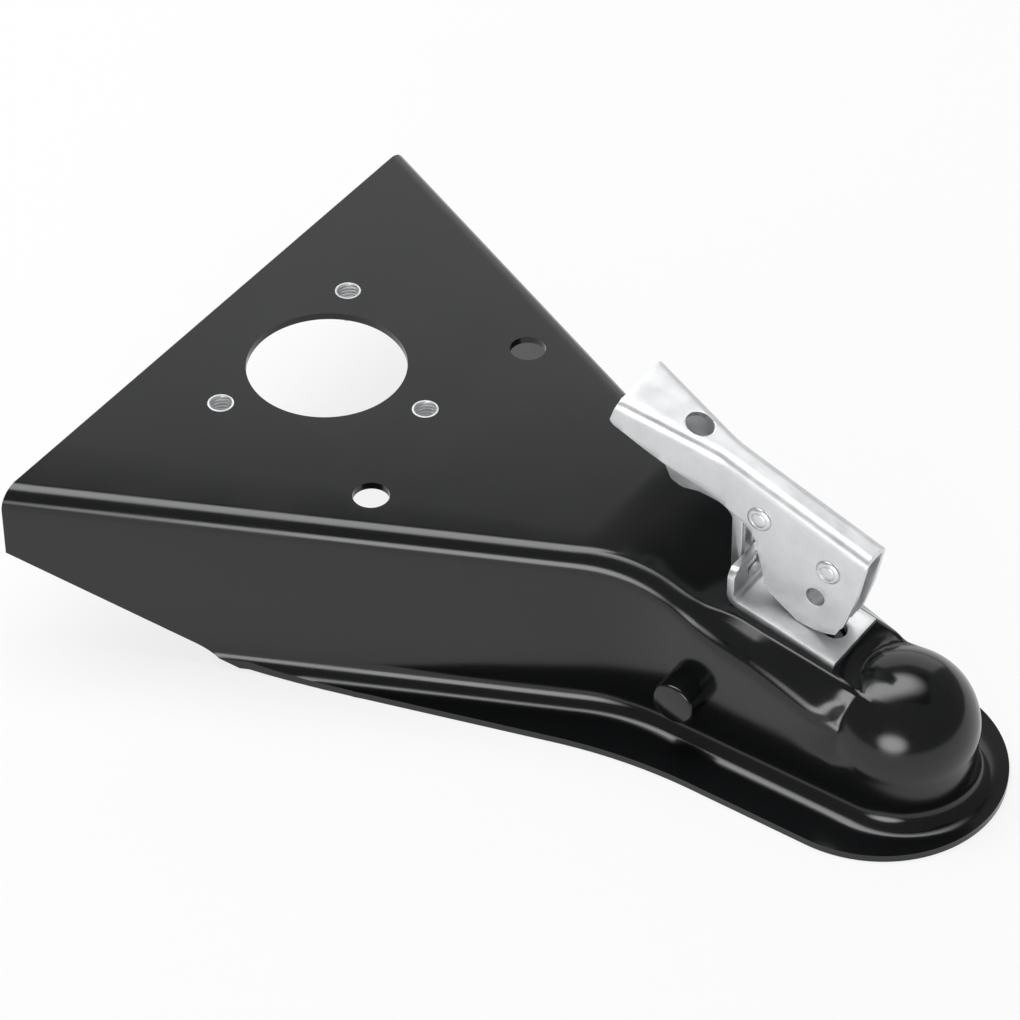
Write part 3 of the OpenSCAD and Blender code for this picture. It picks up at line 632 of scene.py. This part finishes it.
def makeShell():
    # The grid becomes a sheet, gets its wall, is squared and trimmed at the rear, and is drilled last
    points = shellGrid()
    rows, columns = points.shape[:2]
    # The faces are turned so that they look outwards and the sheet grows inwards
    shell = makeMesh("housingShell", points, gridFaces(rows, columns)[:, ::-1], coat)
    tidyMesh(shell, gap=0.004, fixNormals=False)
    thicken(shell, h["sheet"])
    bake(shell)
    squareRear(shell)
    for name, rings in zip(("slopeCut", "edgeCut"), rearCuts()):
        cut(shell, cutter(name, rings))
    q = holeSet
    up = (0, 0, q["under"] + q["over"])
    low = h["topZ"] - q["under"]
    jackX, jackY, jackD = q["jack"]
    pinX, pinZ = q["pinAt"]
    rings = [(circle(jackD / 2, steps=128), (jackX, jackY, low), up)]
    rings += [(circle(q["collar"] / 2, steps=48), (x, y, low), up) for x, y in q["screws"]]
    rings += [(circle(q["frameHole"] / 2), (x, y, low), up) for x, y in q["frameHoles"]]
    rings += [(circle(q["pin"] / 2)[:, [0, 2, 1]], (pinX, -q["pinReach"], pinZ), (0, 2 * q["pinReach"], 0))]
    slot = turned(slotOutline(*q["slot"]) + np.array([-h["pivotBack"], 0, -q["under"]]), h["neckDeg"])
    through = turned(np.array([[0, 0, 2 * q["under"]]]), h["neckDeg"])[0]
    rings += [(slot, (0, 0, h["neckZ"]), through)]
    cut(shell, cutter("holes", rings))
    smooth(shell, degrees=40)
    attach(shell, "base")
    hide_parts("coupler_body")
    print("housing shell:", len(shell.data.polygons), "faces")


makeShell()


# Cross pin: a plain bar whose ends have a small rounded edge
pinSet = {
    "r": 9.0,
    "half": 38.8,
    "edge": 1.1,
    "around": 96,
}


def revolve(name, profile, around, material):
    # The profile (radius, height) turned about Z, closed at both ends where the radius is zero
    r, z = np.array(profile, float).T
    a = np.linspace(0, 2 * np.pi, around, endpoint=False)[None, :]
    points = np.stack([r[:, None] * np.cos(a), r[:, None] * np.sin(a), z[:, None] + 0 * a], axis=-1)
    return makeMesh(name, points, gridFaces(len(r), around, True), material)


def quarter(x, y, r, a0, a1, steps=5):
    # Arc of radius r about (x, y) between two angles
    a = np.radians(np.linspace(a0, a1, steps))
    return list(zip(x + r * np.cos(a), y + r * np.sin(a)))


def place(piece, turn, at):
    # Turns and moves the mesh itself, so the object stays at the origin
    piece.data.transform(Matrix.Translation(Vector(at) * mm) @ turn)


def makePin():
    # The profile is mirrored top to bottom, turned and laid across the housing
    s = pinSet
    e = s["edge"]
    top = quarter(s["r"] - e, s["half"] - e, e, 0, 90)
    profile = [(0, -s["half"])] + [(r, -z) for r, z in reversed(top)] + top + [(0, s["half"])]
    pin = revolve("crossPin", profile, s["around"], coat)
    tidyMesh(pin)
    x, z = holeSet["pinAt"]
    place(pin, Matrix.Rotation(math.radians(90), 4, "X"), (x, 0, z))
    smooth(pin, degrees=50)
    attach(pin, "base")
    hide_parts("cross_pin")


makePin()
print("cross pin made")


# Clinch nuts: a collar flush with the sheet, a hexagon under it and a rolled thread inside
nutSet = {
    "collarR": 5.3,
    "hexR": 9.0,
    "hexH": 6.0,
    "minorR": 4.0,
    "threadDepth": 0.55,
    "pitch": 1.5,
    "threadForm": (1.5, 0.25),  # steepness of the flanks, and how much of the crest is cut flat
    "threadSteps": 97,
    "around": 96,
    "chamfer": 0.5,
    "collarEdge": 0.15,
    "below": 0.02,          # between the hexagon and the sheet
}


def makeNut(name, node, at):
    s = nutSet
    steps = s["around"]
    top = h["topZ"]
    under = top - h["sheet"]
    low = under - s["hexH"]
    a = np.linspace(0, 2 * np.pi, steps, endpoint=False)
    # Distance from the axis to the hexagon's side, for each direction
    sector = np.mod(a, np.pi / 3) - np.pi / 6
    hexagon = s["hexR"] * cosd(30) / np.cos(sector)
    even = np.ones(steps)
    c, e = s["chamfer"], s["collarEdge"]
    seat = under - s["below"]
    collar, bore = s["collarR"] * even, (s["minorR"] + c) * even
    outer = [(hexagon - c, low), (hexagon, low + c), (hexagon, seat), (collar, seat), (collar, top - e),
             (collar - e, top), (bore, top)]
    # Thread: the wall moves in and out along a helix of the given pitch
    z = np.linspace(top - c, low + c, s["threadSteps"])
    phase = z[:, None] / s["pitch"] + a[None, :] / (2 * np.pi)
    wave = np.abs(np.mod(phase, 1.0) - 0.5) * 2
    steep, crest = s["threadForm"]
    wall = s["minorR"] + s["threadDepth"] * np.clip(wave * steep - crest, 0, 1)
    rows = [np.stack([r * np.cos(a), r * np.sin(a), t + 0 * a], axis=-1) for r, t in outer]
    rows += list(np.stack([wall * np.cos(a), wall * np.sin(a), z[:, None] + 0 * wall], axis=-1))
    rows += [np.stack([bore * np.cos(a), bore * np.sin(a), low + 0 * a], axis=-1)]
    rows += [rows[0]]
    nut = makeMesh(name, np.array(rows), gridFaces(len(rows), steps, True), zinc)
    tidyMesh(nut)
    place(nut, Matrix.Identity(4), (at[0], at[1], 0))
    smooth(nut, degrees=30)
    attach(nut, "base")
    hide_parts(node)


for side, at in zip(("front", "left", "right"), holeSet["screws"]):
    makeNut("clinchNut" + side.capitalize(), "jack_nut_" + side, at)
print("clinch nuts made")


def onNeck(points):
    # From the latch's own frame, which lies on the sloping neck, to the housing's
    return turned(np.asarray(points, float), h["neckDeg"]) + np.array([0, 0, h["neckZ"]])


def onBolt(points):
    # The lever's pivot is the origin, and Z runs along the draw bolt
    pivotZ = plateSet["t"] + leverSet["pivotH"]
    return onNeck(np.asarray(points, float) + np.array([-h["pivotBack"], 0, pivotZ]))


def onLever(points):
    # The same origin, turned by the angle at which the closed lever lies
    return onBolt(turned(np.asarray(points, float), leverSet["rise"]))


def onTrigger(points):
    # The trigger's rivet is the origin, behind and above the lever's
    return onLever(np.asarray(points, float) + np.array([-triggerSet["at"], 0, triggerSet["up"]]))


def carried(frame3, vector):
    # A direction of the frame, as a vector of the housing
    return frame3([vector])[0] - frame3([(0, 0, 0)])[0]


def roundCorners(outline, r, steps=5):
    # Each corner of the outline becomes a parabola that leaves both edges r before the corner
    p = np.asarray(outline, float)
    back = np.roll(p, 1, axis=0) - p
    ahead = np.roll(p, -1, axis=0) - p
    lengthBack = np.hypot(back[:, 0], back[:, 1])
    lengthAhead = np.hypot(ahead[:, 0], ahead[:, 1])
    t = np.minimum(r, 0.45 * np.minimum(lengthBack, lengthAhead))
    a = p + back * (t / lengthBack)[:, None]
    b = p + ahead * (t / lengthAhead)[:, None]
    k = np.linspace(0, 1, steps)[None, :, None]
    return ((1 - k) ** 2 * a[:, None] + 2 * k * (1 - k) * p[:, None] + k ** 2 * b[:, None]).reshape(-1, 2)


def sideRing(outline, half, frame3):
    # Ring for a cutter or a prism: an outline seen from the side, carried across from -half to half
    p = np.asarray(outline, float)
    ring = np.stack([p[:, 0], 0 * p[:, 0] - half, p[:, 1]], axis=1)
    return frame3(ring), (0, 0, 0), (0, 2 * half, 0)


def circleAt(x, z, r, steps=48):
    # Circle of radius r about (x, z), seen from the side
    a = np.linspace(0, 2 * np.pi, steps, endpoint=False)
    return np.stack([x + r * np.cos(a), z + r * np.sin(a)], axis=1)


def addBevel(piece, width, degrees, segments=3):
    # Rounds each edge where two faces meet at more than the angle
    edge = piece.modifiers.new("edge", "BEVEL")
    edge.width = width * mm
    edge.segments = segments
    edge.limit_method = "ANGLE"
    edge.angle_limit = math.radians(degrees)
    bake(piece)


def finishPiece(piece, node, body, material, degrees=35):
    # One material, smooth shading, and what the piece moves with and stands for
    piece.data.materials.clear()
    piece.data.materials.append(material)
    smooth(piece, degrees)
    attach(piece, body)
    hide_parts(node)


# Latch plate: a strip on the neck whose rear end is folded up into a lip with a window
plateSet = {
    "t": 3.0,
    "w": 30.0,
    "front": 23.0,
    "rear": 72.1,
    "lipH": 17.2,
    "bendR": 3.0,
    "cornerR": 4.5,
    "band": 2.5,            # left over the window
    "window": 10.8,
    "edge": 0.45,
    "past": 2.0,            # how far the cuts stand off the sheet
}


def makePlate():
    # The strip's underside is carried along a straight, an arc and the lip, and its half width follows the
    # round corners of the lip
    s = plateSet
    turnDeg = 90 - h["neckDeg"]
    foldR = s["t"] + s["bendR"]
    foldX = foldR - s["rear"]
    lipL = s["lipH"] - foldR
    # The path as (x, z)
    a = np.radians(np.linspace(0, turnDeg, 20))
    run = np.linspace(-s["front"], foldX, 24)[:-1]
    flat = np.stack([run, 0 * run], axis=1)
    fold = np.stack([foldX - foldR * np.sin(a), foldR - foldR * np.cos(a)], axis=1)
    toEnd = np.concatenate([np.linspace(0, lipL - s["cornerR"], 6)[1:],
                            lipL - s["cornerR"] * (1 - np.sin(np.linspace(0, np.pi / 2, 9)[1:]))])
    lip = fold[-1] + toEnd[:, None] * np.array([-cosd(turnDeg), sind(turnDeg)])
    path = np.concatenate([flat, fold, lip])
    left = np.concatenate([np.full(len(flat) + len(fold), lipL), lipL - toEnd])
    short = np.maximum(s["cornerR"] - left, 0)
    half = s["w"] / 2 - s["cornerR"] + np.sqrt(s["cornerR"] ** 2 - short ** 2)
    across = np.linspace(-1, 1, 13)
    points = np.stack([path[:, :1] + 0 * across, half[:, None] * across, path[:, 1:] + 0 * across], axis=-1)
    faces = gridFaces(*points.shape[:2])[:, ::-1]
    plate = makeMesh("latchPlate", onNeck(points.reshape(-1, 3)), faces, zinc)
    thicken(plate, s["t"])
    addBevel(plate, s["edge"], degrees=60)
    along = np.array([cosd(turnDeg), 0, -sind(turnDeg)])
    through = np.array([sind(turnDeg), 0, cosd(turnDeg)])
    base = np.array([foldX, 0, foldR])
    corners = [(s["band"] - lipL, -1), (s["band"] - lipL, 1), (0, 1), (0, -1)]
    behind = foldR + s["past"] / 2
    window = np.array([base + u * along - behind * through + np.array([0, v * s["window"] / 2, 0])
                       for u, v in corners])
    slot = slotOutline(*holeSet["slot"]) + np.array([-h["pivotBack"], 0, -s["past"]])
    up = carried(onNeck, (0, 0, s["t"] + 2 * s["past"]))
    ahead = carried(onNeck, through * (s["t"] + s["past"]))
    cut(plate, cutter("plateHoles", [(onNeck(slot), (0, 0, 0), up), (onNeck(window), (0, 0, 0), ahead)]))
    finishPiece(plate, "latch_plate", "base", zinc, degrees=30)


# Release lever: a channel that widens to the grip, cut to the outline of its cheeks
leverSet = {
    "t": 2.3,
    "w": 14.0,
    "gripW": 32.0,
    "pivotH": 32.4,
    "gripL": 97.5,
    "nose": 11.5,
    "top": 16.5,
    "rise": 6.4,
    "foldR": 4.4,
    "flareAt": 55.0,
    "flareBlend": 1.2,
    "cornerR": 3.0,
    "camRate": 0.1,         # millimetres the bolt drops for each degree
    "camGap": 0.3,
    "camEnd": 38.0,
    "edge": 0.4,
    "gripHole": (-69.7, 11.4),
    "lockHole": (-15.5, 8.0),
    "past": 8.0,            # how far the channel runs beyond the nose before its outline is cut
    "deep": 42.0,           # and how far its cheeks reach down
    "over": 1.0,            # how far the grip's drill starts below the sheet and reaches above it
}


def leverOutline():
    # Cam that lifts evenly: the point under angle a lies h(a) below the pivot, moved back by the rate
    s = leverSet
    a = np.linspace(s["rise"], s["camEnd"], 18)
    down = s["pivotH"] - s["camGap"] - s["camRate"] * (a - s["rise"])
    c = s["camRate"] * 180 / np.pi
    a = np.radians(a)
    cam = np.stack([down * np.sin(a) - c * np.cos(a), -down * np.cos(a) - c * np.sin(a)], axis=1)
    rest = np.array([
        (s["nose"] + 2.9, -22.6), (s["nose"] + 3.2, -17), (s["nose"] + 2.7, -3), (s["nose"], s["top"] + 1),
        (-s["gripL"] - 1, s["top"] + 1), (-s["gripL"] - 1, 8), (-s["gripL"] + 1.5, 5.2), (-s["gripL"] + 6, 4),
        (-83, 1.4), (-71, -1.6), (-58, -3.4), (-45, -4.6), (-38, -5.4), (-33.5, -7.2), (-30.2, -9.6),
        (-28, -13), (-20.7, -24.2), (-19.4, -27), (-17, -29)])
    return np.concatenate([cam, roundCorners(rest, s["cornerR"])[2:-2]])


def makeLever():
    # The half width grows evenly behind the flare's start, and each section is a channel with round folds
    s = leverSet
    x = np.linspace(-s["gripL"], s["nose"] + s["past"], 70)
    rate = (s["gripW"] - s["w"]) / 2 / (s["gripL"] - s["flareAt"])
    half = s["w"] / 2 + rate * smoothMax(-x - s["flareAt"], 0 * x, s["flareBlend"])
    r = s["foldR"]
    a = np.linspace(0, np.pi / 2, 12)
    rise = np.linspace(-s["deep"], s["top"] - r, 14)[:-1]
    over = np.linspace(1, -1, 9)[1:-1]
    # Left cheek upwards, its fold, the top, and the same again on the right, as (y, z)
    half, level = half[:, None], 0 * x[:, None]
    y = [half + 0 * rise, half - r + r * np.cos(a), (half - r) * over]
    y += [-y[1][:, ::-1], -y[0][:, ::-1]]
    z = [level + rise, level + s["top"] - r + r * np.sin(a), level + s["top"] + 0 * over]
    z += [z[1][:, ::-1], z[0][:, ::-1]]
    y, z = np.concatenate(y, axis=1), np.concatenate(z, axis=1)
    points = np.stack([x[:, None] + 0 * y, y, z], axis=-1)
    faces = gridFaces(*points.shape[:2])
    lever = makeMesh("releaseLever", onLever(points.reshape(-1, 3)), faces, zinc)
    thicken(lever, s["t"])
    bake(lever)
    cut(lever, cutter("leverOutline", [sideRing(leverOutline(), s["gripW"], onLever)]), "INTERSECT")
    lockZ, lockD = s["lockHole"]
    lock = sideRing(circleAt(0, lockZ, lockD / 2), s["w"], onLever)
    gripX, gripD = s["gripHole"]
    grip = onLever(circle(gripD / 2) + np.array([gripX, 0, s["top"] - s["t"] - s["over"]]))
    up = carried(onLever, (0, 0, s["t"] + 2 * s["over"]))
    cut(lever, cutter("leverHoles", [lock, (grip, (0, 0, 0), up)]))
    addBevel(lever, s["edge"], degrees=55)
    finishPiece(lever, "release_lever", "lever", zinc)


# Rivets: their spun heads keep a shallow ring
rivetSet = {
    "headR": 5.1,
    "headH": 1.2,
    "ringR": 3.0,
    "ringDepth": 0.35,
    "around": 64,
}


def makeRivet(name, node, r, frame3):
    # A shank of radius r between the cheeks, and one head's profile mirrored to the other end
    s = rivetSet
    low = leverSet["w"] / 2
    top = low + s["headH"]
    q = s["ringR"]
    edge = s["headR"]
    end = [(r, low - 1), (r, low + 0.01), (edge - 0.1, low + 0.01), (edge, low + 0.15),
           (edge - 0.1, low + 0.5), (edge - 0.4, low + 0.8), (edge - 0.9, low + 1.05),
           (q + 0.6, top), (q + 0.3, top - 0.05), (q, top - s["ringDepth"]), (q - 0.4, top - 0.1),
           (q - 1, top), (0, top + 0.1)]
    profile = [(a, -b) for a, b in reversed(end)] + end
    rivet = revolve(name, profile, s["around"], zinc)
    tidyMesh(rivet)
    points = np.array([v.co for v in rivet.data.vertices]) / mm
    points = frame3(points[:, [0, 2, 1]] * np.array([1, -1, 1]))
    rivet.data.vertices.foreach_set("co", (points * mm).ravel())
    rivet.data.update()
    finishPiece(rivet, node, "lever", zinc, degrees=25)


# Trigger: a narrow channel, open above and below, with a finger tab behind and a tooth at its leg
triggerSet = {
    "at": 32.0,
    "up": 1.2,
    "w": 8.8,
    "t": 2.0,
    "hubR": 7.0,
    "pivot": 6.1,
    "cornerR": (1.6, 0.9),  # outside and in the hollow
    "edge": 0.35,
}


def prism(name, outline, half, frame3, width, material):
    # A solid of one outline across the part, with rounded edges
    piece = cutter(name, [sideRing(outline, half, frame3)])
    piece.data.materials.append(material)
    addBevel(piece, width, degrees=40)
    return piece


def makeTrigger():
    # A solid of the side outline, round at the hub, less a hollow between its cheeks
    s = triggerSet
    a = np.radians(np.linspace(-90, 90, 17))
    hub = np.stack([s["hubR"] * np.cos(a), s["hubR"] * np.sin(a)], axis=1)
    rest = [(-20, 7.6), (-42, 4), (-44.3, -2.5), (-42.8, -9.5), (-38, -14.6), (-32.5, -14.6), (-26, -10.8),
            (-15.5, -8.4), (-10.5, -10.7), (-2.2, -35.4), (3.3, -33.7), (2.6, -30.9), (1, -31.1),
            (-3.2, -17.8), (-6, -9.2)]
    outline = np.concatenate([hub, roundCorners(rest, s["cornerR"][0], steps=4)])
    trigger = prism("triggerTab", outline, s["w"] / 2, onTrigger, s["edge"], zinc)
    inner = [(9, 3), (9, 12), (-43, 12), (-41.2, 4), (-42.3, -2.5), (-40.9, -8.8), (-37.2, -12.6),
             (-33, -12.6), (-26.6, -8.9), (-15, -6.4), (-9, -9.2), (-3.4, -26), (8, -26), (8, -9)]
    hollow = sideRing(roundCorners(inner, s["cornerR"][1], steps=3), s["w"] / 2 - s["t"], onTrigger)
    bore = sideRing(circleAt(0, 0, s["pivot"] / 2), s["w"], onTrigger)
    cut(trigger, cutter("triggerHollow", [hollow, bore]))
    finishPiece(trigger, "trigger", "trigger", zinc)


# Draw bolt: a flat eye on the lever's rivet and a round shank down to the rocker
boltSet = {
    "d": 9.2,
    "tongue": 8.8,
    "eyeR": 8.0,
    "tongueL": 25.0,
    "taper": 5.0,           # length over which the tongue narrows to the shank
    "edge": 0.35,
    "end": 85.0,
    "endTaper": (0.6, 0.86),    # length of the shank's end, and the share of its radius that is left
    "eye": 7.1,
    "lockHole": 9.2,
    "threadFrom": 62.0,
    "pitch": 1.5,
    "threadDepth": 0.45,
    "threadForm": (1.4, 0.2),
    "threadSteps": 180,
    "threadRun": 2.0,       # length over which the thread gets its depth
    "rockerDrop": 72.0,
    "rockerR": 7.7,
    "rockerL": 24.0,
    "rockerEdge": 0.4,
    "rockerPast": 2.0,      # how far the rocker's drill starts below it
    "nutR": 9.25,
    "nutH": 8.0,
    "washer": 2.0,
    "shankIn": 3.0,         # how far the shank starts inside the tongue
    "around": 64,
    "nutAround": 96,
}


def makeBolt():
    # Tongue: a solid of the eye's half circle and a tapered end, with two holes across
    s = boltSet
    a = np.radians(np.linspace(180, 0, 33))
    eye = np.stack([s["eyeR"] * np.cos(a), s["eyeR"] * np.sin(a)], axis=1)
    r = s["d"] / 2
    neck = s["taper"] - s["tongueL"]
    low = [(s["eyeR"], neck), (r, -s["tongueL"]), (-r, -s["tongueL"]), (-s["eyeR"], neck)]
    bolt = prism("drawBolt", np.concatenate([eye, low]), s["tongue"] / 2, onBolt, s["edge"], zinc)
    lockDown = leverSet["lockHole"][0]
    lockAt = (lockDown * sind(leverSet["rise"]), lockDown * cosd(leverSet["rise"]))
    holes = (circleAt(0, 0, s["eye"] / 2), circleAt(*lockAt, s["lockHole"] / 2))
    cut(bolt, cutter("boltHoles", [sideRing(hole, s["tongue"], onBolt) for hole in holes]))
    # Shank: the radius dips along a helix where the thread is
    turn = np.linspace(0, 2 * np.pi, s["around"], endpoint=False)[None, :]
    endL, endShare = s["endTaper"]
    thread = np.linspace(-s["threadFrom"], -s["end"] + endL, s["threadSteps"])
    z = np.concatenate([[s["shankIn"] - s["tongueL"]], thread])[:, None]
    wave = np.abs(np.mod(z / s["pitch"] + turn / (2 * np.pi), 1) - 0.5) * 2
    fade = comesIn(-z, s["threadFrom"], s["threadRun"])
    steep, crest = s["threadForm"]
    radius = r - s["threadDepth"] * fade * np.clip(wave * steep - crest, 0, 1)
    body = np.stack([radius * np.cos(turn), radius * np.sin(turn), z + 0 * turn], axis=-1)
    cap = body[-1] * np.array([endShare, endShare, 1]) - np.array([0, 0, endL])
    ends = [0 * body[0] + body[0].mean(axis=0), cap, 0 * cap + cap.mean(axis=0)]
    rows = np.concatenate([ends[:1], body, ends[1:]], axis=0)
    faces = gridFaces(*rows.shape[:2], closed=True)
    shank = makeMesh("shank", onBolt(rows.reshape(-1, 3)), faces, zinc)
    tidyMesh(shank)
    bm = bmesh.new()
    bm.from_mesh(bolt.data)
    bm.from_mesh(shank.data)
    bm.to_mesh(bolt.data)
    bm.free()
    old = shank.data
    bpy.data.objects.remove(shank)
    bpy.data.meshes.remove(old)
    finishPiece(bolt, "draw_bolt", "bolt", zinc)


def makeRocker():
    # Half a cylinder across the bolt, flat side down, with a bore for the shank
    s = boltSet
    a = np.radians(np.linspace(0, 180, 33))
    outline = np.stack([s["rockerR"] * np.cos(a), s["rockerR"] * np.sin(a) - s["rockerDrop"]], axis=1)
    rocker = prism("rockerWasher", outline, s["rockerL"] / 2, onBolt, s["rockerEdge"], zinc)
    bore = circle(s["d"] / 2, steps=48) + np.array([0, 0, -s["rockerDrop"] - s["rockerPast"]])
    up = carried(onBolt, (0, 0, s["rockerR"] + 2 * s["rockerPast"]))
    cut(rocker, cutter("rockerHole", [(onBolt(bore), (0, 0, 0), up)]))
    tidyMesh(rocker, gap=0.02)
    finishPiece(rocker, "rocker_washer", "bolt", zinc)


def makeLockNut():
    # Hexagon whose corners are turned off above and below, with a collar that grips the thread
    s = boltSet
    steps = s["nutAround"]
    a = np.linspace(0, 2 * np.pi, steps, endpoint=False)
    hexagon = s["nutR"] * cosd(30) / np.cos(np.mod(a, np.pi / 3) - np.pi / 6)
    flat = s["nutR"] * cosd(30)
    top = -s["rockerDrop"] - s["washer"]
    low = top - s["nutH"]
    turnedOff = np.minimum(hexagon, flat + 0.25)
    r = s["d"] / 2
    even = np.ones(steps)
    outer = [(r * even, top), (turnedOff - 0.5, top), (hexagon, top - 0.9), (hexagon, low + 2.6),
             (turnedOff - 0.4, low + 2.0), ((flat - 1.2) * even, low + 1.9), ((flat - 1.5) * even, low + 0.3),
             ((flat - 1.9) * even, low), ((r + 0.3) * even, low), (r * even, low + 0.4), (r * even, top)]
    rows = np.stack([np.stack([q * np.cos(a), q * np.sin(a), t + 0 * a], axis=-1) for q, t in outer])
    nut = makeMesh("lockNut", onBolt(rows.reshape(-1, 3)), gridFaces(len(rows), steps, True), zinc)
    tidyMesh(nut)
    finishPiece(nut, "lock_nut", "bolt", zinc, degrees=30)


makePlate()
makeLever()
makeRivet("leverRivet", "lever_rivet", 3.5, onLever)
makeRivet("triggerRivet", "trigger_rivet", 3.0, onTrigger)
makeTrigger()
makeBolt()
makeRocker()
makeLockNut()
print("latch made")


# Ball clamp: the forging keeps its CAD form, and its edges are rounded on a merged copy
clampSet = {
    "edge": 1.2,
    "gap": 0.003,           # points closer than this are one
    "flatDeg": 1.5,         # faces that meet at less are one
}


def makeClamp():
    # A copy of the CAD mesh, its points and flat faces merged, with rounded edges
    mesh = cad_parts["ball_clamp"].data.copy()
    clamp = bpy.data.objects.new("ballClamp", mesh)
    bpy.context.scene.collection.objects.link(clamp)
    bm = bmesh.new()
    bm.from_mesh(mesh)
    bmesh.ops.remove_doubles(bm, verts=bm.verts, dist=clampSet["gap"] * mm)
    flat = math.radians(clampSet["flatDeg"])
    bmesh.ops.dissolve_limit(bm, angle_limit=flat, verts=bm.verts, edges=bm.edges)
    bm.to_mesh(mesh)
    bm.free()
    addBevel(clamp, clampSet["edge"], degrees=40)
    finishPiece(clamp, "ball_clamp", "clamp", forged)


makeClamp()
print("ball clamp made")

# Spacers, springs and the thrust washer keep their CAD form
for node in ("clamp_spacer_left", "clamp_spacer_right", "bolt_spring", "trigger_spring", "thrust_washer"):
    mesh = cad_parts[node].data
    mesh.materials.clear()
    mesh.materials.append(zinc if node == "thrust_washer" else steel)


# Studio: pale floor, a large softbox overhead, a low one on the near side and a dim panel far behind.
# Both softboxes are brightest in the middle and fade out towards their rims
floorSet = {
    "colour": "#dcdcdc",
    "size": 8.0,
    "z": -27.5,
    "white": 0.8,           # share of plain white in what the camera sees of the floor
}
roomSet = {
    "around": "#808080",    # what lights the object from all sides
    "behind": "#ffffff",    # what the camera sees
}
fadeTo = 0.6                # share of the way in where a softbox is at full strength
boxSet = {
    "overhead": {"at": (-0.62, 0.05, 1.5), "half": (1.5, 0.74), "radiance": 6.0, "level": True},
    "nearSide": {"at": (0.43, -1.42, 0.34), "half": (0.72, 0.46), "radiance": 7.0, "level": False},
}
lampSet = {
    "farSide": {"at": (-1.3, 1.9, 0.95), "size": (3.2, 1.7), "radiance": 0.8},
}


def softbox(name):
    # A panel whose light follows a smooth step from its rim inwards
    s = boxSet[name]
    material, tree = newMaterial(name + "Cloth")
    where = addNode(tree, "ShaderNodeTexCoord")
    stretch = addNode(tree, "ShaderNodeMapping", {"Scale": (1 / s["half"][0], 1 / s["half"][1], 1)},
                      {"Vector": where.outputs["Object"]})
    disc = addNode(tree, "ShaderNodeTexGradient", {"gradient_type": "SPHERICAL"},
                   {"Vector": stretch.outputs[0]})
    glow = addNode(tree, "ShaderNodeMapRange", {"interpolation_type": "SMOOTHSTEP", "From Max": fadeTo,
                   "To Max": s["radiance"]}, {"Value": disc.outputs[0]})
    shader = addNode(tree, "ShaderNodeEmission", None, {"Strength": glow.outputs[0]})
    addNode(tree, "ShaderNodeOutputMaterial", None, {"Surface": shader.outputs[0]})
    a, b = s["half"][0] / mm, s["half"][1] / mm
    panel = makeMesh(name, [(-a, -b, 0), (a, -b, 0), (a, b, 0), (-a, b, 0)], [(0, 3, 2, 1)], material)
    at = Vector(s["at"])
    panel.location = at
    panel.rotation_euler = at.to_track_quat("Z", "Y").to_euler()
    if s["level"]:
        panel.rotation_euler = (0, 0, math.atan2(cameraSet["right"][1], cameraSet["right"][0]))
    panel.visible_camera = False


def makeStudio():
    # The floor is the paper's own shade in the object's light and nearly white to the camera
    s = floorSet
    half = s["size"] / 2 / mm
    corners = [(-half, -half, s["z"]), (half, -half, s["z"]), (half, half, s["z"]), (-half, half, s["z"])]
    material, tree = newMaterial("paperFloor")
    paper = addNode(tree, "ShaderNodeBsdfDiffuse", {"Color": linear(s["colour"])})
    white = addNode(tree, "ShaderNodeEmission", {"Strength": 1.0})
    path = addNode(tree, "ShaderNodeLightPath")
    seen = addNode(tree, "ShaderNodeMath", {"operation": "ADD"},
                   {0: path.outputs["Is Camera Ray"], 1: path.outputs["Is Glossy Ray"]})
    through = addNode(tree, "ShaderNodeMath", {"operation": "ADD"},
                      {0: seen.outputs[0], 1: path.outputs["Is Transmission Ray"]})
    share = addNode(tree, "ShaderNodeMapRange", {"To Max": s["white"]}, {"Value": through.outputs[0]})
    shader = addNode(tree, "ShaderNodeMixShader", None,
                     {0: share.outputs[0], 1: paper.outputs[0], 2: white.outputs[0]})
    addNode(tree, "ShaderNodeOutputMaterial", None, {"Surface": shader.outputs[0]})
    floor = makeMesh("floor", corners, [(0, 1, 2, 3)], material)
    for name in boxSet:
        softbox(name)
    for name, lamp in lampSet.items():
        data = bpy.data.lights.new(name, "AREA")
        data.shape = "RECTANGLE"
        data.size, data.size_y = lamp["size"]
        # An area lamp's power is its radiance times pi times its area
        data.energy = lamp["radiance"] * math.pi * data.size * data.size_y
        lampObject = bpy.data.objects.new(name, data)
        at = Vector(lamp["at"])
        lampObject.location = at
        lampObject.rotation_euler = at.to_track_quat("Z", "Y").to_euler()
        lampObject.visible_camera = False
        bpy.context.scene.collection.objects.link(lampObject)
    # The room is mid grey for the object and plain white behind it
    world = bpy.data.worlds.new("studio")
    world.use_nodes = True
    tree = world.node_tree
    tree.nodes.clear()
    room = addNode(tree, "ShaderNodeBackground", {"Color": linear(roomSet["around"])})
    behind = addNode(tree, "ShaderNodeBackground", {"Color": linear(roomSet["behind"])})
    path = addNode(tree, "ShaderNodeLightPath")
    shader = addNode(tree, "ShaderNodeMixShader", None,
                     {0: path.outputs["Is Camera Ray"], 1: room.outputs[0], 2: behind.outputs[0]})
    addNode(tree, "ShaderNodeOutputWorld", None, {"Surface": shader.outputs[0]})
    bpy.context.scene.world = world
    bpy.context.scene.view_settings.view_transform = "Standard"


makeStudio()
print("studio lit")
